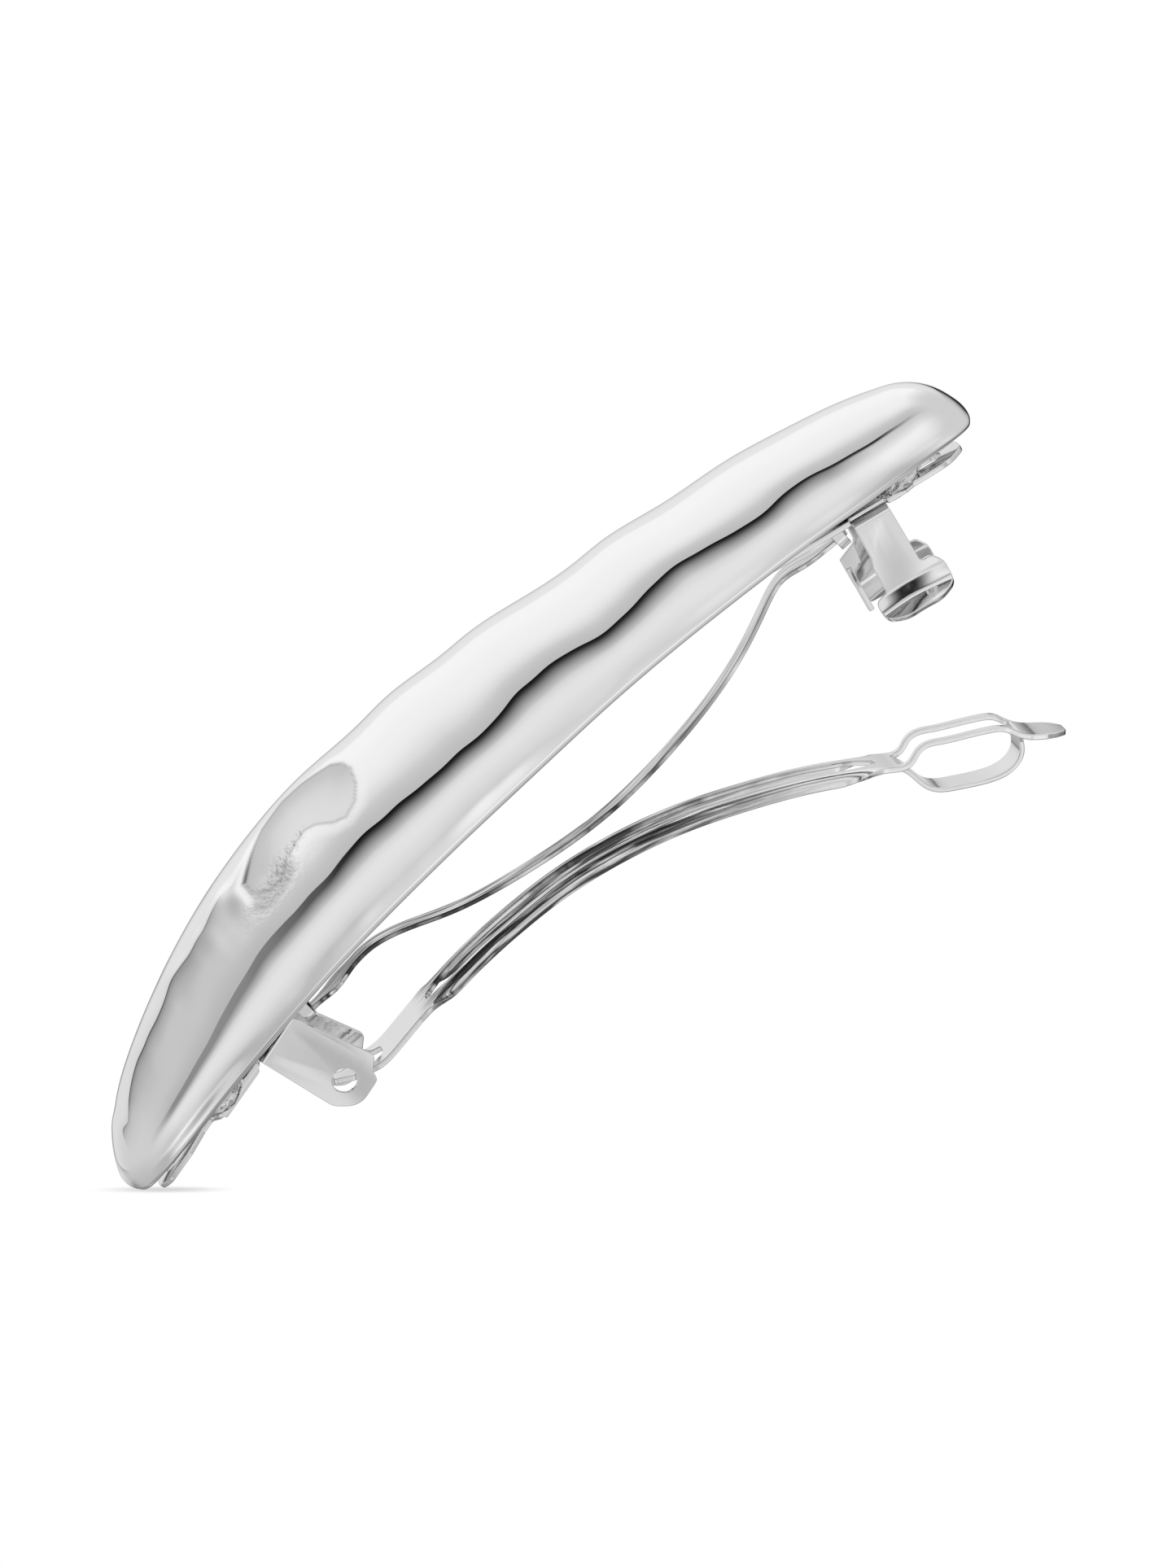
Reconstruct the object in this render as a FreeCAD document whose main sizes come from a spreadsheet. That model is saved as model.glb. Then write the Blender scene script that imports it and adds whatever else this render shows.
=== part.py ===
import FreeCAD, Part
import math
import os
import Sketcher

V = FreeCAD.Vector

# French barrette, millimetres. X runs from the hinge end to the catch end, Z points to the crown of the
# shell, and Y is across the clip. The origin is midway between the tips of the two end tabs.

SIZES = {
    "strip_thick": 0.5,
    "strip_width": 6.6,
    "strip_half_chord": 45.0,
    "arch_radius": 125.0,
    "arch_half": 27.0,
    "arch_rise": 6.93,
    "tab_hinge_half_width": 2.1,
    "tab_catch_half_width": 2.9,
    "pivot_x": -27.7,
    "pivot_z": -3.25,
    "ear_tilt": 14.0,
    "ear_end_radius": 2.36,
    "ear_hole_radius": 1.06,
    "catch_x": 35.8,
    "catch_z": 1.74,
    "catch_tilt": 12.47,
    "wing_thick": 0.5,
    "wing_gap": 0.08,
    "hook_reach": 0.15,
    "pad_thick": 0.5,
    "pad_half_length": 3.4,
    "pad_half_width": 1.75,
    "pad_lean": 45.0,
    "bow_width": 2.0,
    "bow_thick": 0.4,
    "bow_bulb_width": 3.0,
    "arm_width": 5.4,
    "arm_slot": 2.9,
    "arm_thick": 0.5,
    "arm_flange": 1.25,
    "arm_flange_thick": 0.45,
    "band_width": 3.4,
    "rail_outer_width": 5.0,
    "rail_inner_width": 3.6,
    "finger_width": 4.6,
    "prong_width": 1.2,
    "lug_span": 6.5,
    "lug_width": 1.9,
    "lug_thick": 0.6,
    "shell_wall": 1.1,
}

# Shell stations: position along the clip, half width at the rim, height of the rim, height of the crown.
STATIONS = [
    (-46.7, 0.9, 1.5, 3.0),
    (-46.0, 2.2, 1.1, 4.6),
    (-44.0, 4.0, 1.6, 6.9),
    (-40.5, 5.7, 2.4, 9.4),
    (-35.0, 7.0, 3.6, 12.0),
    (-28.0, 7.9, 4.8, 14.7),
    (-20.0, 8.3, 5.7, 16.7),
    (-12.5, 8.3, 6.1, 17.3),
    (-6.5, 8.1, 6.2, 17.1),
    (-3.3, 8.0, 6.2, 17.2),
    (2.0, 7.9, 6.2, 16.7),
    (10.0, 7.6, 6.1, 15.7),
    (18.0, 7.2, 5.6, 14.7),
    (25.0, 6.8, 4.9, 13.1),
    (32.0, 6.3, 4.0, 11.9),
    (38.5, 5.5, 2.9, 10.1),
    (43.0, 4.4, 2.0, 8.4),
    (45.5, 3.2, 1.4, 6.8),
    (46.8, 2.0, 1.3, 4.9),
    (47.3, 0.8, 1.8, 3.2),
]

doc = FreeCAD.newDocument("barrette")
sheet = doc.addObject("Spreadsheet::Sheet", "Sizes")
for row, (name, value) in enumerate(SIZES.items(), start=1):
    sheet.set("A%d" % row, name)
    sheet.set("B%d" % row, str(value))
    sheet.setAlias("B%d" % row, name)
doc.recompute()


def size(name):
    """A size read back from the spreadsheet."""
    return float(sheet.get(name))


def new_body(name):
    body = doc.addObject("PartDesign::Body", name)
    body.Label = name
    return body


def plane_of(body, role):
    return [f for f in body.Origin.OriginFeatures if f.Role == role][0]


def new_sketch(body, name, role, offset=0.0):
    """An empty sketch on one of the body's origin planes, moved along the plane's normal."""
    sketch = body.newObject("Sketcher::SketchObject", name)
    sketch.AttachmentSupport = [(plane_of(body, role), "")]
    sketch.MapMode = "FlatFace"
    sketch.AttachmentOffset = FreeCAD.Placement(V(0, 0, offset), FreeCAD.Rotation())
    return sketch


def join(sketch, first, last):
    """Ties together the edge ends that meet, each edge to the next."""
    pairs = [(i, i + 1) for i in range(first, last)]
    if last - first > 1:
        pairs.append((last, first))
    for i, j in pairs:
        for a in (1, 2):
            for b in (1, 2):
                if (sketch.getPoint(i, a) - sketch.getPoint(j, b)).Length < 1e-6:
                    sketch.addConstraint(Sketcher.Constraint("Coincident", i, a, j, b))


def draw(sketch, start, steps):
    """Draws a closed outline. A step is an end point, a (middle, end) pair for an arc, or a list of points
    for a smooth curve."""
    here = V(start[0], start[1], 0)
    first = sketch.GeometryCount
    for step in steps:
        if isinstance(step, list):
            points = [here] + [V(p[0], p[1], 0) for p in step]
            curve = Part.BSplineCurve()
            curve.interpolate(points)
            sketch.addGeometry(curve, False)
            here = points[-1]
        elif isinstance(step[0], tuple):
            middle = V(step[0][0], step[0][1], 0)
            end = V(step[1][0], step[1][1], 0)
            sketch.addGeometry(Part.Arc(here, middle, end), False)
            here = end
        else:
            end = V(step[0], step[1], 0)
            sketch.addGeometry(Part.LineSegment(here, end), False)
            here = end
    join(sketch, first, sketch.GeometryCount - 1)


def slot_steps(cx, cy, length, width):
    """A long hole along the sketch's first axis, as a start point and steps."""
    r = width / 2.0
    a = length / 2.0 - r
    start = (cx - a, cy - r)
    steps = [
        (cx + a, cy - r),
        ((cx + a + r, cy), (cx + a, cy + r)),
        (cx - a, cy + r),
        ((cx - a - r, cy), (cx - a, cy - r)),
    ]
    return start, steps


def pad(body, sketch, name, length, midplane=False, reverse=False):
    """A pad whose length is a spreadsheet expression."""
    feature = body.newObject("PartDesign::Pad", name)
    feature.Profile = sketch
    feature.setExpression("Length", length)
    feature.Midplane = midplane
    feature.Reversed = reverse
    sketch.Visibility = False
    doc.recompute()
    return feature


def cut_through(body, sketch, name):
    """A pocket right through the body, both ways."""
    feature = body.newObject("PartDesign::Pocket", name)
    feature.Profile = sketch
    feature.Type = "Length"
    feature.Length = 120.0
    feature.Midplane = True
    sketch.Visibility = False
    doc.recompute()
    return feature


def turned(origin, tilt, t, n):
    """A point t along a tilted strip and n below it, as X and Z."""
    a = math.radians(tilt)
    x = origin[0] + t * math.cos(a) + n * math.sin(a)
    z = origin[1] + t * math.sin(a) - n * math.cos(a)
    return (x, z)


def strip_height(x):
    """Height of the strip's middle surface: an arc with straight ends that leave it at a tangent."""
    r = size("arch_radius")
    half = size("arch_half")
    rise = size("arch_rise")
    inner = min(abs(x), half)
    drop = r - math.sqrt(r * r - inner * inner)
    slope = half / math.sqrt(r * r - half * half)
    return rise - drop - slope * (abs(x) - inner)


# Base plate: the arched strip, trimmed to its outline, with ears and bridges.
base = new_body("base_plate")
t2 = size("strip_thick") / 2.0
half_chord = size("strip_half_chord")
arch_half = size("arch_half")
stock_half = half_chord + 1.0
side = new_sketch(base, "StripSide", "XZ_Plane")
draw(
    side,
    (-stock_half, strip_height(stock_half) - t2),
    [
        (-arch_half, strip_height(arch_half) - t2),
        ((0.0, strip_height(0.0) - t2), (arch_half, strip_height(arch_half) - t2)),
        (stock_half, strip_height(stock_half) - t2),
        (stock_half, strip_height(stock_half) + t2),
        (arch_half, strip_height(arch_half) + t2),
        ((0.0, strip_height(0.0) + t2), (-arch_half, strip_height(arch_half) + t2)),
        (-stock_half, strip_height(stock_half) + t2),
        (-stock_half, strip_height(stock_half) - t2),
    ],
)
pad(base, side, "Strip", "Sizes.strip_width + 2", midplane=True)

hw = size("strip_width") / 2.0
th = size("tab_hinge_half_width")
tc = size("tab_catch_half_width")
plan = new_sketch(base, "StripPlan", "XY_Plane")
draw(plan, (-60.0, -12.0), [(60.0, -12.0), (60.0, 12.0), (-60.0, 12.0), (-60.0, -12.0)])
draw(
    plan,
    (-38.2, -1.4),
    [
        (-37.9, -hw + 0.7),
        (-37.2, -hw),
        (38.6, -hw),
        (39.4, -tc),
        (half_chord - tc, -tc),
        ((half_chord, 0.0), (half_chord - tc, tc)),
        (39.4, tc),
        (38.6, hw),
        (-37.2, hw),
        (-37.9, hw - 0.7),
        (-38.2, 1.4),
        (-39.0, 1.4),
        (-40.2, th - 0.2),
        (-41.4, th),
        (-half_chord + th, th),
        ((-half_chord, 0.0), (-half_chord + th, -th)),
        (-41.4, -th),
        (-40.2, -th + 0.2),
        (-39.0, -1.4),
        (-38.2, -1.4),
    ],
)
cut_through(base, plan, "Outline")

holes = new_sketch(base, "StripHoles", "XY_Plane")
draw(holes, *slot_steps(-41.3, 0.0, 4.6, 1.8))
draw(holes, *slot_steps(42.0, 0.0, 2.6, 1.8))
draw(holes, *slot_steps(-21.6, 0.0, 5.4, 3.0))
draw(holes, *slot_steps(28.6, 0.0, 5.4, 3.0))
cut_through(base, holes, "Holes")

pivot = (size("pivot_x"), size("pivot_z"))
tilt = size("ear_tilt")
er = size("ear_end_radius")
hr = size("ear_hole_radius")
for label, where, flip in (("Near", hw, True), ("Far", -hw, False)):
    ear = new_sketch(base, "Ear" + label, "XZ_Plane", where)
    spot = er / math.sqrt(2.0)
    draw(
        ear,
        turned(pivot, tilt, -2.3, -7.1),
        [
            turned(pivot, tilt, 2.1, -7.1),
            turned(pivot, tilt, 3.2, 0.97),
            turned(pivot, tilt, spot, spot),
            (turned(pivot, tilt, 0.0, er), turned(pivot, tilt, -er, 0.0)),
            turned(pivot, tilt, -2.3, -7.1),
        ],
    )
    ear.addGeometry(Part.Circle(V(pivot[0], pivot[1], 0), V(0, 0, 1), hr), False)
    hole = ear.GeometryCount - 1
    ear.addConstraint(Sketcher.Constraint("Radius", hole, hr))
    ear.setExpression("Constraints[%d]" % (ear.ConstraintCount - 1), "Sizes.ear_hole_radius")
    pad(base, ear, "EarPad" + label, "Sizes.strip_thick", reverse=flip)

# Narrow turned-down lips stiffen the strip's edges next to the ears and the wings.
for label, x1, x2, lip_deep in (("Hinge", -37.1, -31.8, 0.4), ("Catch", 37.55, 39.0, 0.2)):
    for way in (1, -1):
        lip = new_sketch(base, "Lip%s%d" % (label, 1 + (way > 0)), "XZ_Plane", way * hw)
        draw(
            lip,
            (x1, strip_height(x1)),
            [
                (x1 + 0.25, strip_height(x1 + 0.25) - t2 - lip_deep),
                (x2 - 0.25, strip_height(x2 - 0.25) - t2 - lip_deep),
                (x2, strip_height(x2)),
                (x1, strip_height(x1)),
            ],
        )
        pad(base, lip, lip.Name + "Pad", "Sizes.strip_thick * 0.8", reverse=way > 0)

# Bridges: small stirrups under the strip that hold the ends of the bow.
for label, x, floor in (("Hinge", -26.2, 1.62), ("Catch", 32.6, 0.52)):
    top = strip_height(x)
    bridge = new_sketch(base, "Bridge" + label, "YZ_Plane", x)
    draw(
        bridge,
        (-1.75, top),
        [
            (-1.75, floor + 0.6),
            ((-1.57, floor + 0.18), (-1.15, floor)),
            (1.15, floor),
            ((1.57, floor + 0.18), (1.75, floor + 0.6)),
            (1.75, top),
            (1.35, top),
            (1.35, floor + 0.6),
            (1.1, floor + 0.38),
            (-1.1, floor + 0.38),
            (-1.35, floor + 0.6),
            (-1.35, top),
            (-1.75, top),
        ],
    )
    pad(base, bridge, "BridgePad" + label, "Sizes.strip_thick * 2", midplane=True)

# Catch wings: sprung plates with a rolled-out oval pad and an inward hook, hinged at their folds.
catch = (size("catch_x"), size("catch_z"))
slope = -size("catch_tilt")
gap = size("wing_gap")
WINGS = {
    "catch_wing_front": {"side": 1, "left": -2.3, "low": 6.3, "hook": (4.7, 5.9), "jog": 2.2},
    "catch_wing_rear": {"side": -1, "left": -3.7, "low": 6.3, "hook": (4.7, 8.9), "jog": 2.9},
}
for name, wing in WINGS.items():
    body = new_body(name)
    way = wing["side"]
    left = wing["left"]
    low = wing["low"]
    plate = new_sketch(body, "Plate", "XZ_Plane", way * hw)
    draw(
        plate,
        turned(catch, slope, -1.55, gap),
        [
            turned(catch, slope, 1.5, gap),
            turned(catch, slope, 1.6, low),
            turned(catch, slope, left + 0.3, low),
            turned(catch, slope, left, low - 0.5),
            turned(catch, slope, left, wing["jog"] + 0.9),
            turned(catch, slope, -1.75, wing["jog"]),
            turned(catch, slope, -1.55, gap),
        ],
    )
    pad(body, plate, "PlatePad", "Sizes.wing_thick", reverse=way > 0)
    hook = new_sketch(body, "Hook", "XZ_Plane", way * hw)
    draw(
        hook,
        turned(catch, slope, left, wing["hook"][0]),
        [
            turned(catch, slope, left + 0.5, wing["hook"][0]),
            turned(catch, slope, left + 0.5, wing["hook"][1]),
            turned(catch, slope, left, wing["hook"][1]),
            turned(catch, slope, left, wing["hook"][0]),
        ],
    )
    pad(body, hook, "HookPad", "Sizes.wing_thick + Sizes.hook_reach", reverse=way > 0)
    # The pad is an oval that leans outwards from the wing's lower edge.
    oval = body.newObject("Sketcher::SketchObject", "Oval")
    oval.AttachmentSupport = [(plane_of(body, "XY_Plane"), "")]
    oval.MapMode = "FlatFace"
    lean = size("pad_lean")
    ra = size("pad_half_length")
    rb = size("pad_half_width")
    centre = turned(catch, slope, -0.4, low + 0.55)
    seat = V(centre[0], -way * (hw + 0.9), centre[1])
    roll = FreeCAD.Rotation(V(1, 0, 0), -lean if way < 0 else lean - 180.0)
    oval.AttachmentOffset = FreeCAD.Placement(seat, FreeCAD.Rotation(V(0, 1, 0), -slope) * roll)
    k = 0.74
    draw(
        oval,
        (-ra, 0.0),
        [
            [(-ra * k, rb * 0.72), (0.0, rb), (ra * k, rb * 0.72), (ra, 0.0)],
            [(ra * k, -rb * 0.72), (0.0, -rb), (-ra * k, -rb * 0.72), (-ra, 0.0)],
        ],
    )
    pad(body, oval, "OvalPad", "Sizes.pad_thick", midplane=True)

# Bow spring: a thin strip that hangs below the base between its two bridges.
BOW = [
    (-26.9, 2.42),
    (-23.0, 2.5),
    (-18.9, 2.9),
    (-16.0, 2.2),
    (-12.0, 0.5),
    (-6.0, -1.2),
    (0.0, -2.25),
    (4.5, -2.55),
    (9.0, -2.35),
    (14.0, -1.75),
    (20.0, -0.35),
    (24.0, 1.2),
    (27.0, 2.1),
    (30.0, 1.55),
    (33.4, 1.28),
]
bow = new_body("bow_spring")
bow_side = new_sketch(bow, "BowSide", "XZ_Plane")
bt = size("bow_thick")
upper = [(x, z + bt / 2.0) for x, z in BOW]
lower = [(x, z - bt / 2.0) for x, z in BOW]
draw(bow_side, upper[0], [upper[1:], lower[-1], lower[-2::-1], upper[0]])
pad(bow, bow_side, "BowPad", "Sizes.bow_bulb_width", midplane=True)
bw = size("bow_width") / 2.0
bulb = size("bow_bulb_width") / 2.0 - 0.02
bow_plan = new_sketch(bow, "BowPlan", "XY_Plane")
draw(bow_plan, (-40.0, -6.0), [(40.0, -6.0), (40.0, 6.0), (-40.0, 6.0), (-40.0, -6.0)])
draw(
    bow_plan,
    (-26.85, -0.7),
    [
        [(-24.8, -0.75), (-23.0, -bulb), (-21.2, -bw)],
        (26.6, -bw),
        [(28.6, -bulb), (30.6, -0.85), (33.35, -0.7)],
        (33.35, 0.7),
        [(30.6, 0.85), (28.6, bulb), (26.6, bw)],
        (-21.2, bw),
        [(-23.0, bulb), (-24.8, 0.75), (-26.85, 0.7)],
        (-26.85, -0.7),
    ],
)
cut_through(bow, bow_plan, "BowOutline")

# Clasp arm: forked hinge end, slotted and flanged bar, lantern loop and finger tab.
ARM_TOP = [
    (-24.6, -4.45),
    (-20.0, -3.9),
    (-16.0, -3.4),
    (-12.0, -3.2),
    (-8.0, -3.3),
    (-4.0, -3.65),
    (0.0, -4.4),
    (4.0, -5.5),
    (8.0, -7.0),
    (12.0, -8.9),
    (18.0, -12.3),
    (21.0, -14.4),
    (23.4, -16.3),
]
arm = new_body("clasp_arm")
at = size("arm_thick")


def below(points, depths):
    """The curve set off towards its lower side, by one depth or by one for each point."""
    out = []
    if not isinstance(depths, list):
        depths = [depths] * len(points)
    for i, (x, z) in enumerate(points):
        depth = depths[i]
        a = points[max(i - 1, 0)]
        b = points[min(i + 1, len(points) - 1)]
        run = math.hypot(b[0] - a[0], b[1] - a[1])
        out.append((x + depth * (b[1] - a[1]) / run, z - depth * (b[0] - a[0]) / run))
    return out


arm_low = below(ARM_TOP, at)
arm_side = new_sketch(arm, "ArmSide", "XZ_Plane")
draw(arm_side, ARM_TOP[0], [ARM_TOP[1:], arm_low[-1], arm_low[-2::-1], ARM_TOP[0]])
pad(arm, arm_side, "ArmPad", "Sizes.arm_width", midplane=True)

# The bar tapers a little towards the loop and has a long slot that the bow passes through.
aw = size("arm_width") / 2.0
slot = size("arm_slot") / 2.0
ro = size("rail_outer_width") / 2.0
ri = size("rail_inner_width") / 2.0
arm_plan = new_sketch(arm, "ArmPlan", "XY_Plane")
draw(arm_plan, (-40.0, -9.0), [(60.0, -9.0), (60.0, 9.0), (-40.0, 9.0), (-40.0, -9.0)])
draw(
    arm_plan,
    (-26.0, -aw + 0.02),
    [
        (6.0, -aw + 0.02),
        (24.6, -ro),
        (24.6, ro),
        (6.0, aw - 0.02),
        (-26.0, aw - 0.02),
        (-26.0, -aw + 0.02),
    ],
)
cut_through(arm, arm_plan, "ArmOutline")
arm_slot = new_sketch(arm, "ArmSlot", "XY_Plane")
draw(
    arm_slot,
    (-15.6, -slot),
    [
        (20.2, -slot),
        [(21.9, -slot + 0.35), (22.8, 0.0), (21.9, slot - 0.35), (20.2, slot)],
        (-15.6, slot),
        [(-17.6, slot - 0.4), (-18.6, 0.0), (-17.6, -slot + 0.4), (-15.6, -slot)],
    ],
)
cut_through(arm, arm_slot, "ArmSlotCut")

# Flanges along both edges of the slotted length, fading out at both ends.
flange_top = ARM_TOP[2:]
deep = size("arm_flange")
fade = [0.5, 0.85] + [1.0] * (len(flange_top) - 4) + [0.8, 0.45]
flange_shift = below(flange_top, 0.15)
flange_low = below(flange_top, [deep * f for f in fade])
for label, where, flip in (("Near", aw - 0.46, False), ("Far", -aw + 0.46, True)):
    flange = new_sketch(arm, "Flange" + label, "XZ_Plane", where)
    draw(flange, flange_shift[0], [flange_shift[1:], flange_low[-1], flange_low[-2::-1], flange_shift[0]])
    pad(arm, flange, "FlangePad" + label, "Sizes.arm_flange_thick", reverse=flip)

# Forked hinge end: two prongs that run down to the lugs.
neck_top = [(-24.2, -4.42), (-25.3, -4.3), (-26.6, -3.7), (-27.75, -2.95)]
neck_low = below(neck_top[::-1], 0.55)[::-1]
for label, where in (("Near", 1.5), ("Far", -2.7)):
    prong = new_sketch(arm, "Prong" + label, "XZ_Plane", where)
    draw(prong, neck_top[0], [neck_top[1:], neck_low[-1], neck_low[-2::-1], neck_top[0]])
    pad(arm, prong, "ProngPad" + label, "Sizes.prong_width")
lug = new_sketch(arm, "Lug", "XZ_Plane")
lw = size("lug_width") / 2.0
lt = size("lug_thick") / 2.0
lean = -31.0
draw(
    lug,
    turned(pivot, lean, -lw, -lt),
    [
        turned(pivot, lean, lw, -lt),
        turned(pivot, lean, lw, lt),
        turned(pivot, lean, -lw, lt),
        turned(pivot, lean, -lw, -lt),
    ],
)
pad(arm, lug, "LugPad", "Sizes.lug_span", midplane=True)
throat = new_sketch(arm, "Throat", "XY_Plane")
draw(throat, (-29.5, -1.5), [(-25.6, -1.5), ((-24.1, 0.0), (-25.6, 1.5)), (-29.5, 1.5), (-29.5, -1.5)])
cut_through(arm, throat, "ThroatCut")

# Lantern loop: two raised side rails and a dropped band between them.
RAIL = [
    (22.4, -15.5),
    (24.0, -16.45),
    (25.6, -16.1),
    (26.6, -16.35),
    (31.1, -19.1),
    (32.1, -20.05),
    (32.4, -21.5),
]
rail_low = below(RAIL, 0.45)
for label, where in (("Near", ri), ("Far", -ro)):
    rail = new_sketch(arm, "Rail" + label, "XZ_Plane", where)
    draw(rail, RAIL[0], [RAIL[1:], rail_low[-1], rail_low[-2::-1], RAIL[0]])
    pad(arm, rail, "RailPad" + label, "(Sizes.rail_outer_width - Sizes.rail_inner_width) / 2")
BAND = [
    (22.4, -15.45),
    (23.6, -16.9),
    (23.9, -18.6),
    (24.3, -19.9),
    (25.9, -21.4),
    (28.3, -22.8),
    (30.1, -23.1),
    (31.5, -22.6),
    (32.2, -21.3),
]
band_low = below(BAND, 0.45)
band = new_sketch(arm, "Band", "XZ_Plane")
draw(band, BAND[0], [BAND[1:], band_low[-1], band_low[-2::-1], BAND[0]])
pad(arm, band, "BandPad", "Sizes.band_width", midplane=True)
finger_top = [(31.6, -20.9), (32.6, -21.7), (34.2, -23.0), (35.5, -24.3)]
finger_low = below(finger_top, 0.5)
finger = new_sketch(arm, "Finger", "XZ_Plane")
draw(finger, finger_top[0], [finger_top[1:], finger_low[-1], finger_low[-2::-1], finger_top[0]])
pad(arm, finger, "FingerPad", "Sizes.rail_outer_width", midplane=True)
fw = size("finger_width") / 2.0
tip = new_sketch(arm, "FingerPlan", "XY_Plane")
draw(
    tip,
    (32.7, -9.0),
    [
        (60.0, -9.0),
        (60.0, 9.0),
        (32.7, 9.0),
        (32.7, ro),
        [(33.4, fw), (34.6, fw - 0.2), (35.45, 0.0), (34.6, -fw + 0.2), (33.4, -fw), (32.7, -ro)],
        (32.7, -9.0),
    ],
)
cut_through(arm, tip, "FingerOutline")


def dome(x, half_width, rim, crown):
    """One section of the shell: an upright half ellipse closed along the rim."""
    points = []
    for i in range(17):
        a = math.pi * i / 16.0
        points.append(V(x, -half_width * math.cos(a), rim + (crown - rim) * math.sin(a) ** 0.92))
    curve = Part.BSplineCurve()
    curve.interpolate(points)
    return Part.Wire([curve.toShape(), Part.LineSegment(points[-1], points[0]).toShape()])


# Shell: a hollow casting through hand-set sections. Its free form suits neither sketches nor primitives.
wall = size("shell_wall")
outer = Part.makeLoft([dome(*s) for s in STATIONS], True, False)
inner_stations = []
for x, half_width, rim, crown in STATIONS[3:17]:
    inner_stations.append((x, half_width - wall, rim - 1.6, crown - wall))
inner_first = (-43.2, 2.6, 0.4, 6.2)
inner_last = (45.0, 2.1, 0.2, 5.2)
inner = Part.makeLoft([dome(*s) for s in [inner_first] + inner_stations[:-1] + [inner_last]], True, False)
shell = doc.addObject("Part::Feature", "shell")
shell.Label = "shell"
shell.Shape = outer.cut(inner)
shell.Placement = FreeCAD.Placement()


def bead(name, blobs):
    """Solder: overlapping flattened balls."""
    parts = []
    for i, (x, y, z, rx, ry, rz) in enumerate(blobs):
        ball = doc.addObject("Part::Ellipsoid", "%s_ball_%d" % (name, i))
        ball.Radius1 = rz
        ball.Radius2 = rx
        ball.Radius3 = ry
        ball.Placement = FreeCAD.Placement(V(x, y, z), FreeCAD.Rotation())
        parts.append(ball)
    fused = doc.addObject("Part::MultiFuse", name)
    fused.Shapes = parts
    fused.Label = name
    return fused


solder_hinge = bead(
    "solder_bead_hinge_end",
    [(-35.8, -3.2, 3.2, 2.3, 3.4, 1.0), (-34.6, 0.3, 3.3, 2.6, 2.6, 0.9), (-35.4, 3.2, 3.25, 2.2, 3.4, 1.0)],
)
solder_catch = bead(
    "solder_bead_catch_end",
    [(39.6, -2.4, 2.3, 1.8, 2.6, 1.0), (39.2, 0.4, 2.2, 2.0, 1.8, 0.8), (39.8, 2.4, 2.25, 1.7, 2.6, 1.0)],
)

doc.recompute()
os.makedirs("parts", exist_ok=True)
for obj in doc.Objects:
    if "Invalid" in obj.State or "Error" in obj.State:
        raise RuntimeError("%s did not recompute: %s" % (obj.Name, obj.State))
for obj in doc.Objects:
    is_node = obj.TypeId in ("PartDesign::Body", "Part::MultiFuse", "Part::Feature")
    if not is_node:
        continue
    if obj.Shape.isNull() or not obj.Shape.isValid():
        raise RuntimeError("%s has no valid shape" % obj.Label)
    obj.Shape.exportStep("parts/%s.step" % obj.Label)
    print("%-24s volume %.2f  solids %d" % (obj.Label, obj.Shape.Volume, len(obj.Shape.Solids)))
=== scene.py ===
import math

import bmesh
import bpy
import numpy as np
from mathutils import Matrix, Vector


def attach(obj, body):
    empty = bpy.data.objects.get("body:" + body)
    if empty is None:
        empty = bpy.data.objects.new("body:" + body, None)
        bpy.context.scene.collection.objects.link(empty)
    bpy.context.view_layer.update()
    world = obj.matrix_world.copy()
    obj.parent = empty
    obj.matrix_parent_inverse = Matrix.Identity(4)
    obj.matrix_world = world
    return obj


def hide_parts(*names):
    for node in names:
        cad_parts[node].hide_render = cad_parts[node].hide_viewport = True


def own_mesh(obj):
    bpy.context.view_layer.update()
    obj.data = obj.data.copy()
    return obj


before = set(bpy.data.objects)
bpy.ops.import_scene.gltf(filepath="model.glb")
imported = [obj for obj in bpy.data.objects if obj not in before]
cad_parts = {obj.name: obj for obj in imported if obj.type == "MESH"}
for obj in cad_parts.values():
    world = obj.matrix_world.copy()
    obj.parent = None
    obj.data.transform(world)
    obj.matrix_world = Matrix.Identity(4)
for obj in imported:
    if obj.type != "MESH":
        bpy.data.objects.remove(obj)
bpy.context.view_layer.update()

# All shapes are worked out in millimetres and turned into metres when a mesh is made.
MM = 0.001

# ------------------------------------------------------------
# Curves
# ------------------------------------------------------------


def spline_function(xs, ys):
    """Natural cubic spline through (xs, ys), as a function that takes an array."""
    xs, ys = np.array(xs, float), np.array(ys, float)
    n = len(xs)
    h = np.diff(xs)
    m = np.zeros((n, n))
    rhs = np.zeros(n)
    m[0, 0] = m[-1, -1] = 1.0
    for i in range(1, n - 1):
        m[i, i - 1 : i + 2] = h[i - 1], 2 * (h[i - 1] + h[i]), h[i]
        rhs[i] = 3 * ((ys[i + 1] - ys[i]) / h[i] - (ys[i] - ys[i - 1]) / h[i - 1])
    c = np.linalg.solve(m, rhs)
    b = (ys[1:] - ys[:-1]) / h - h * (2 * c[:-1] + c[1:]) / 3
    d = (c[1:] - c[:-1]) / (3 * h)

    def value(x):
        x = np.asarray(x, float)
        i = np.clip(np.searchsorted(xs, x) - 1, 0, n - 2)
        t = x - xs[i]
        inside = ys[i] + b[i] * t + c[i] * t**2 + d[i] * t**3
        low = ys[0] + b[0] * (x - xs[0])
        slope = b[-1] + 2 * c[-2] * h[-1] + 3 * d[-1] * h[-1] ** 2
        high = ys[-1] + slope * (x - xs[-1])
        return np.where(x < xs[0], low, np.where(x > xs[-1], high, inside))

    return value


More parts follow.
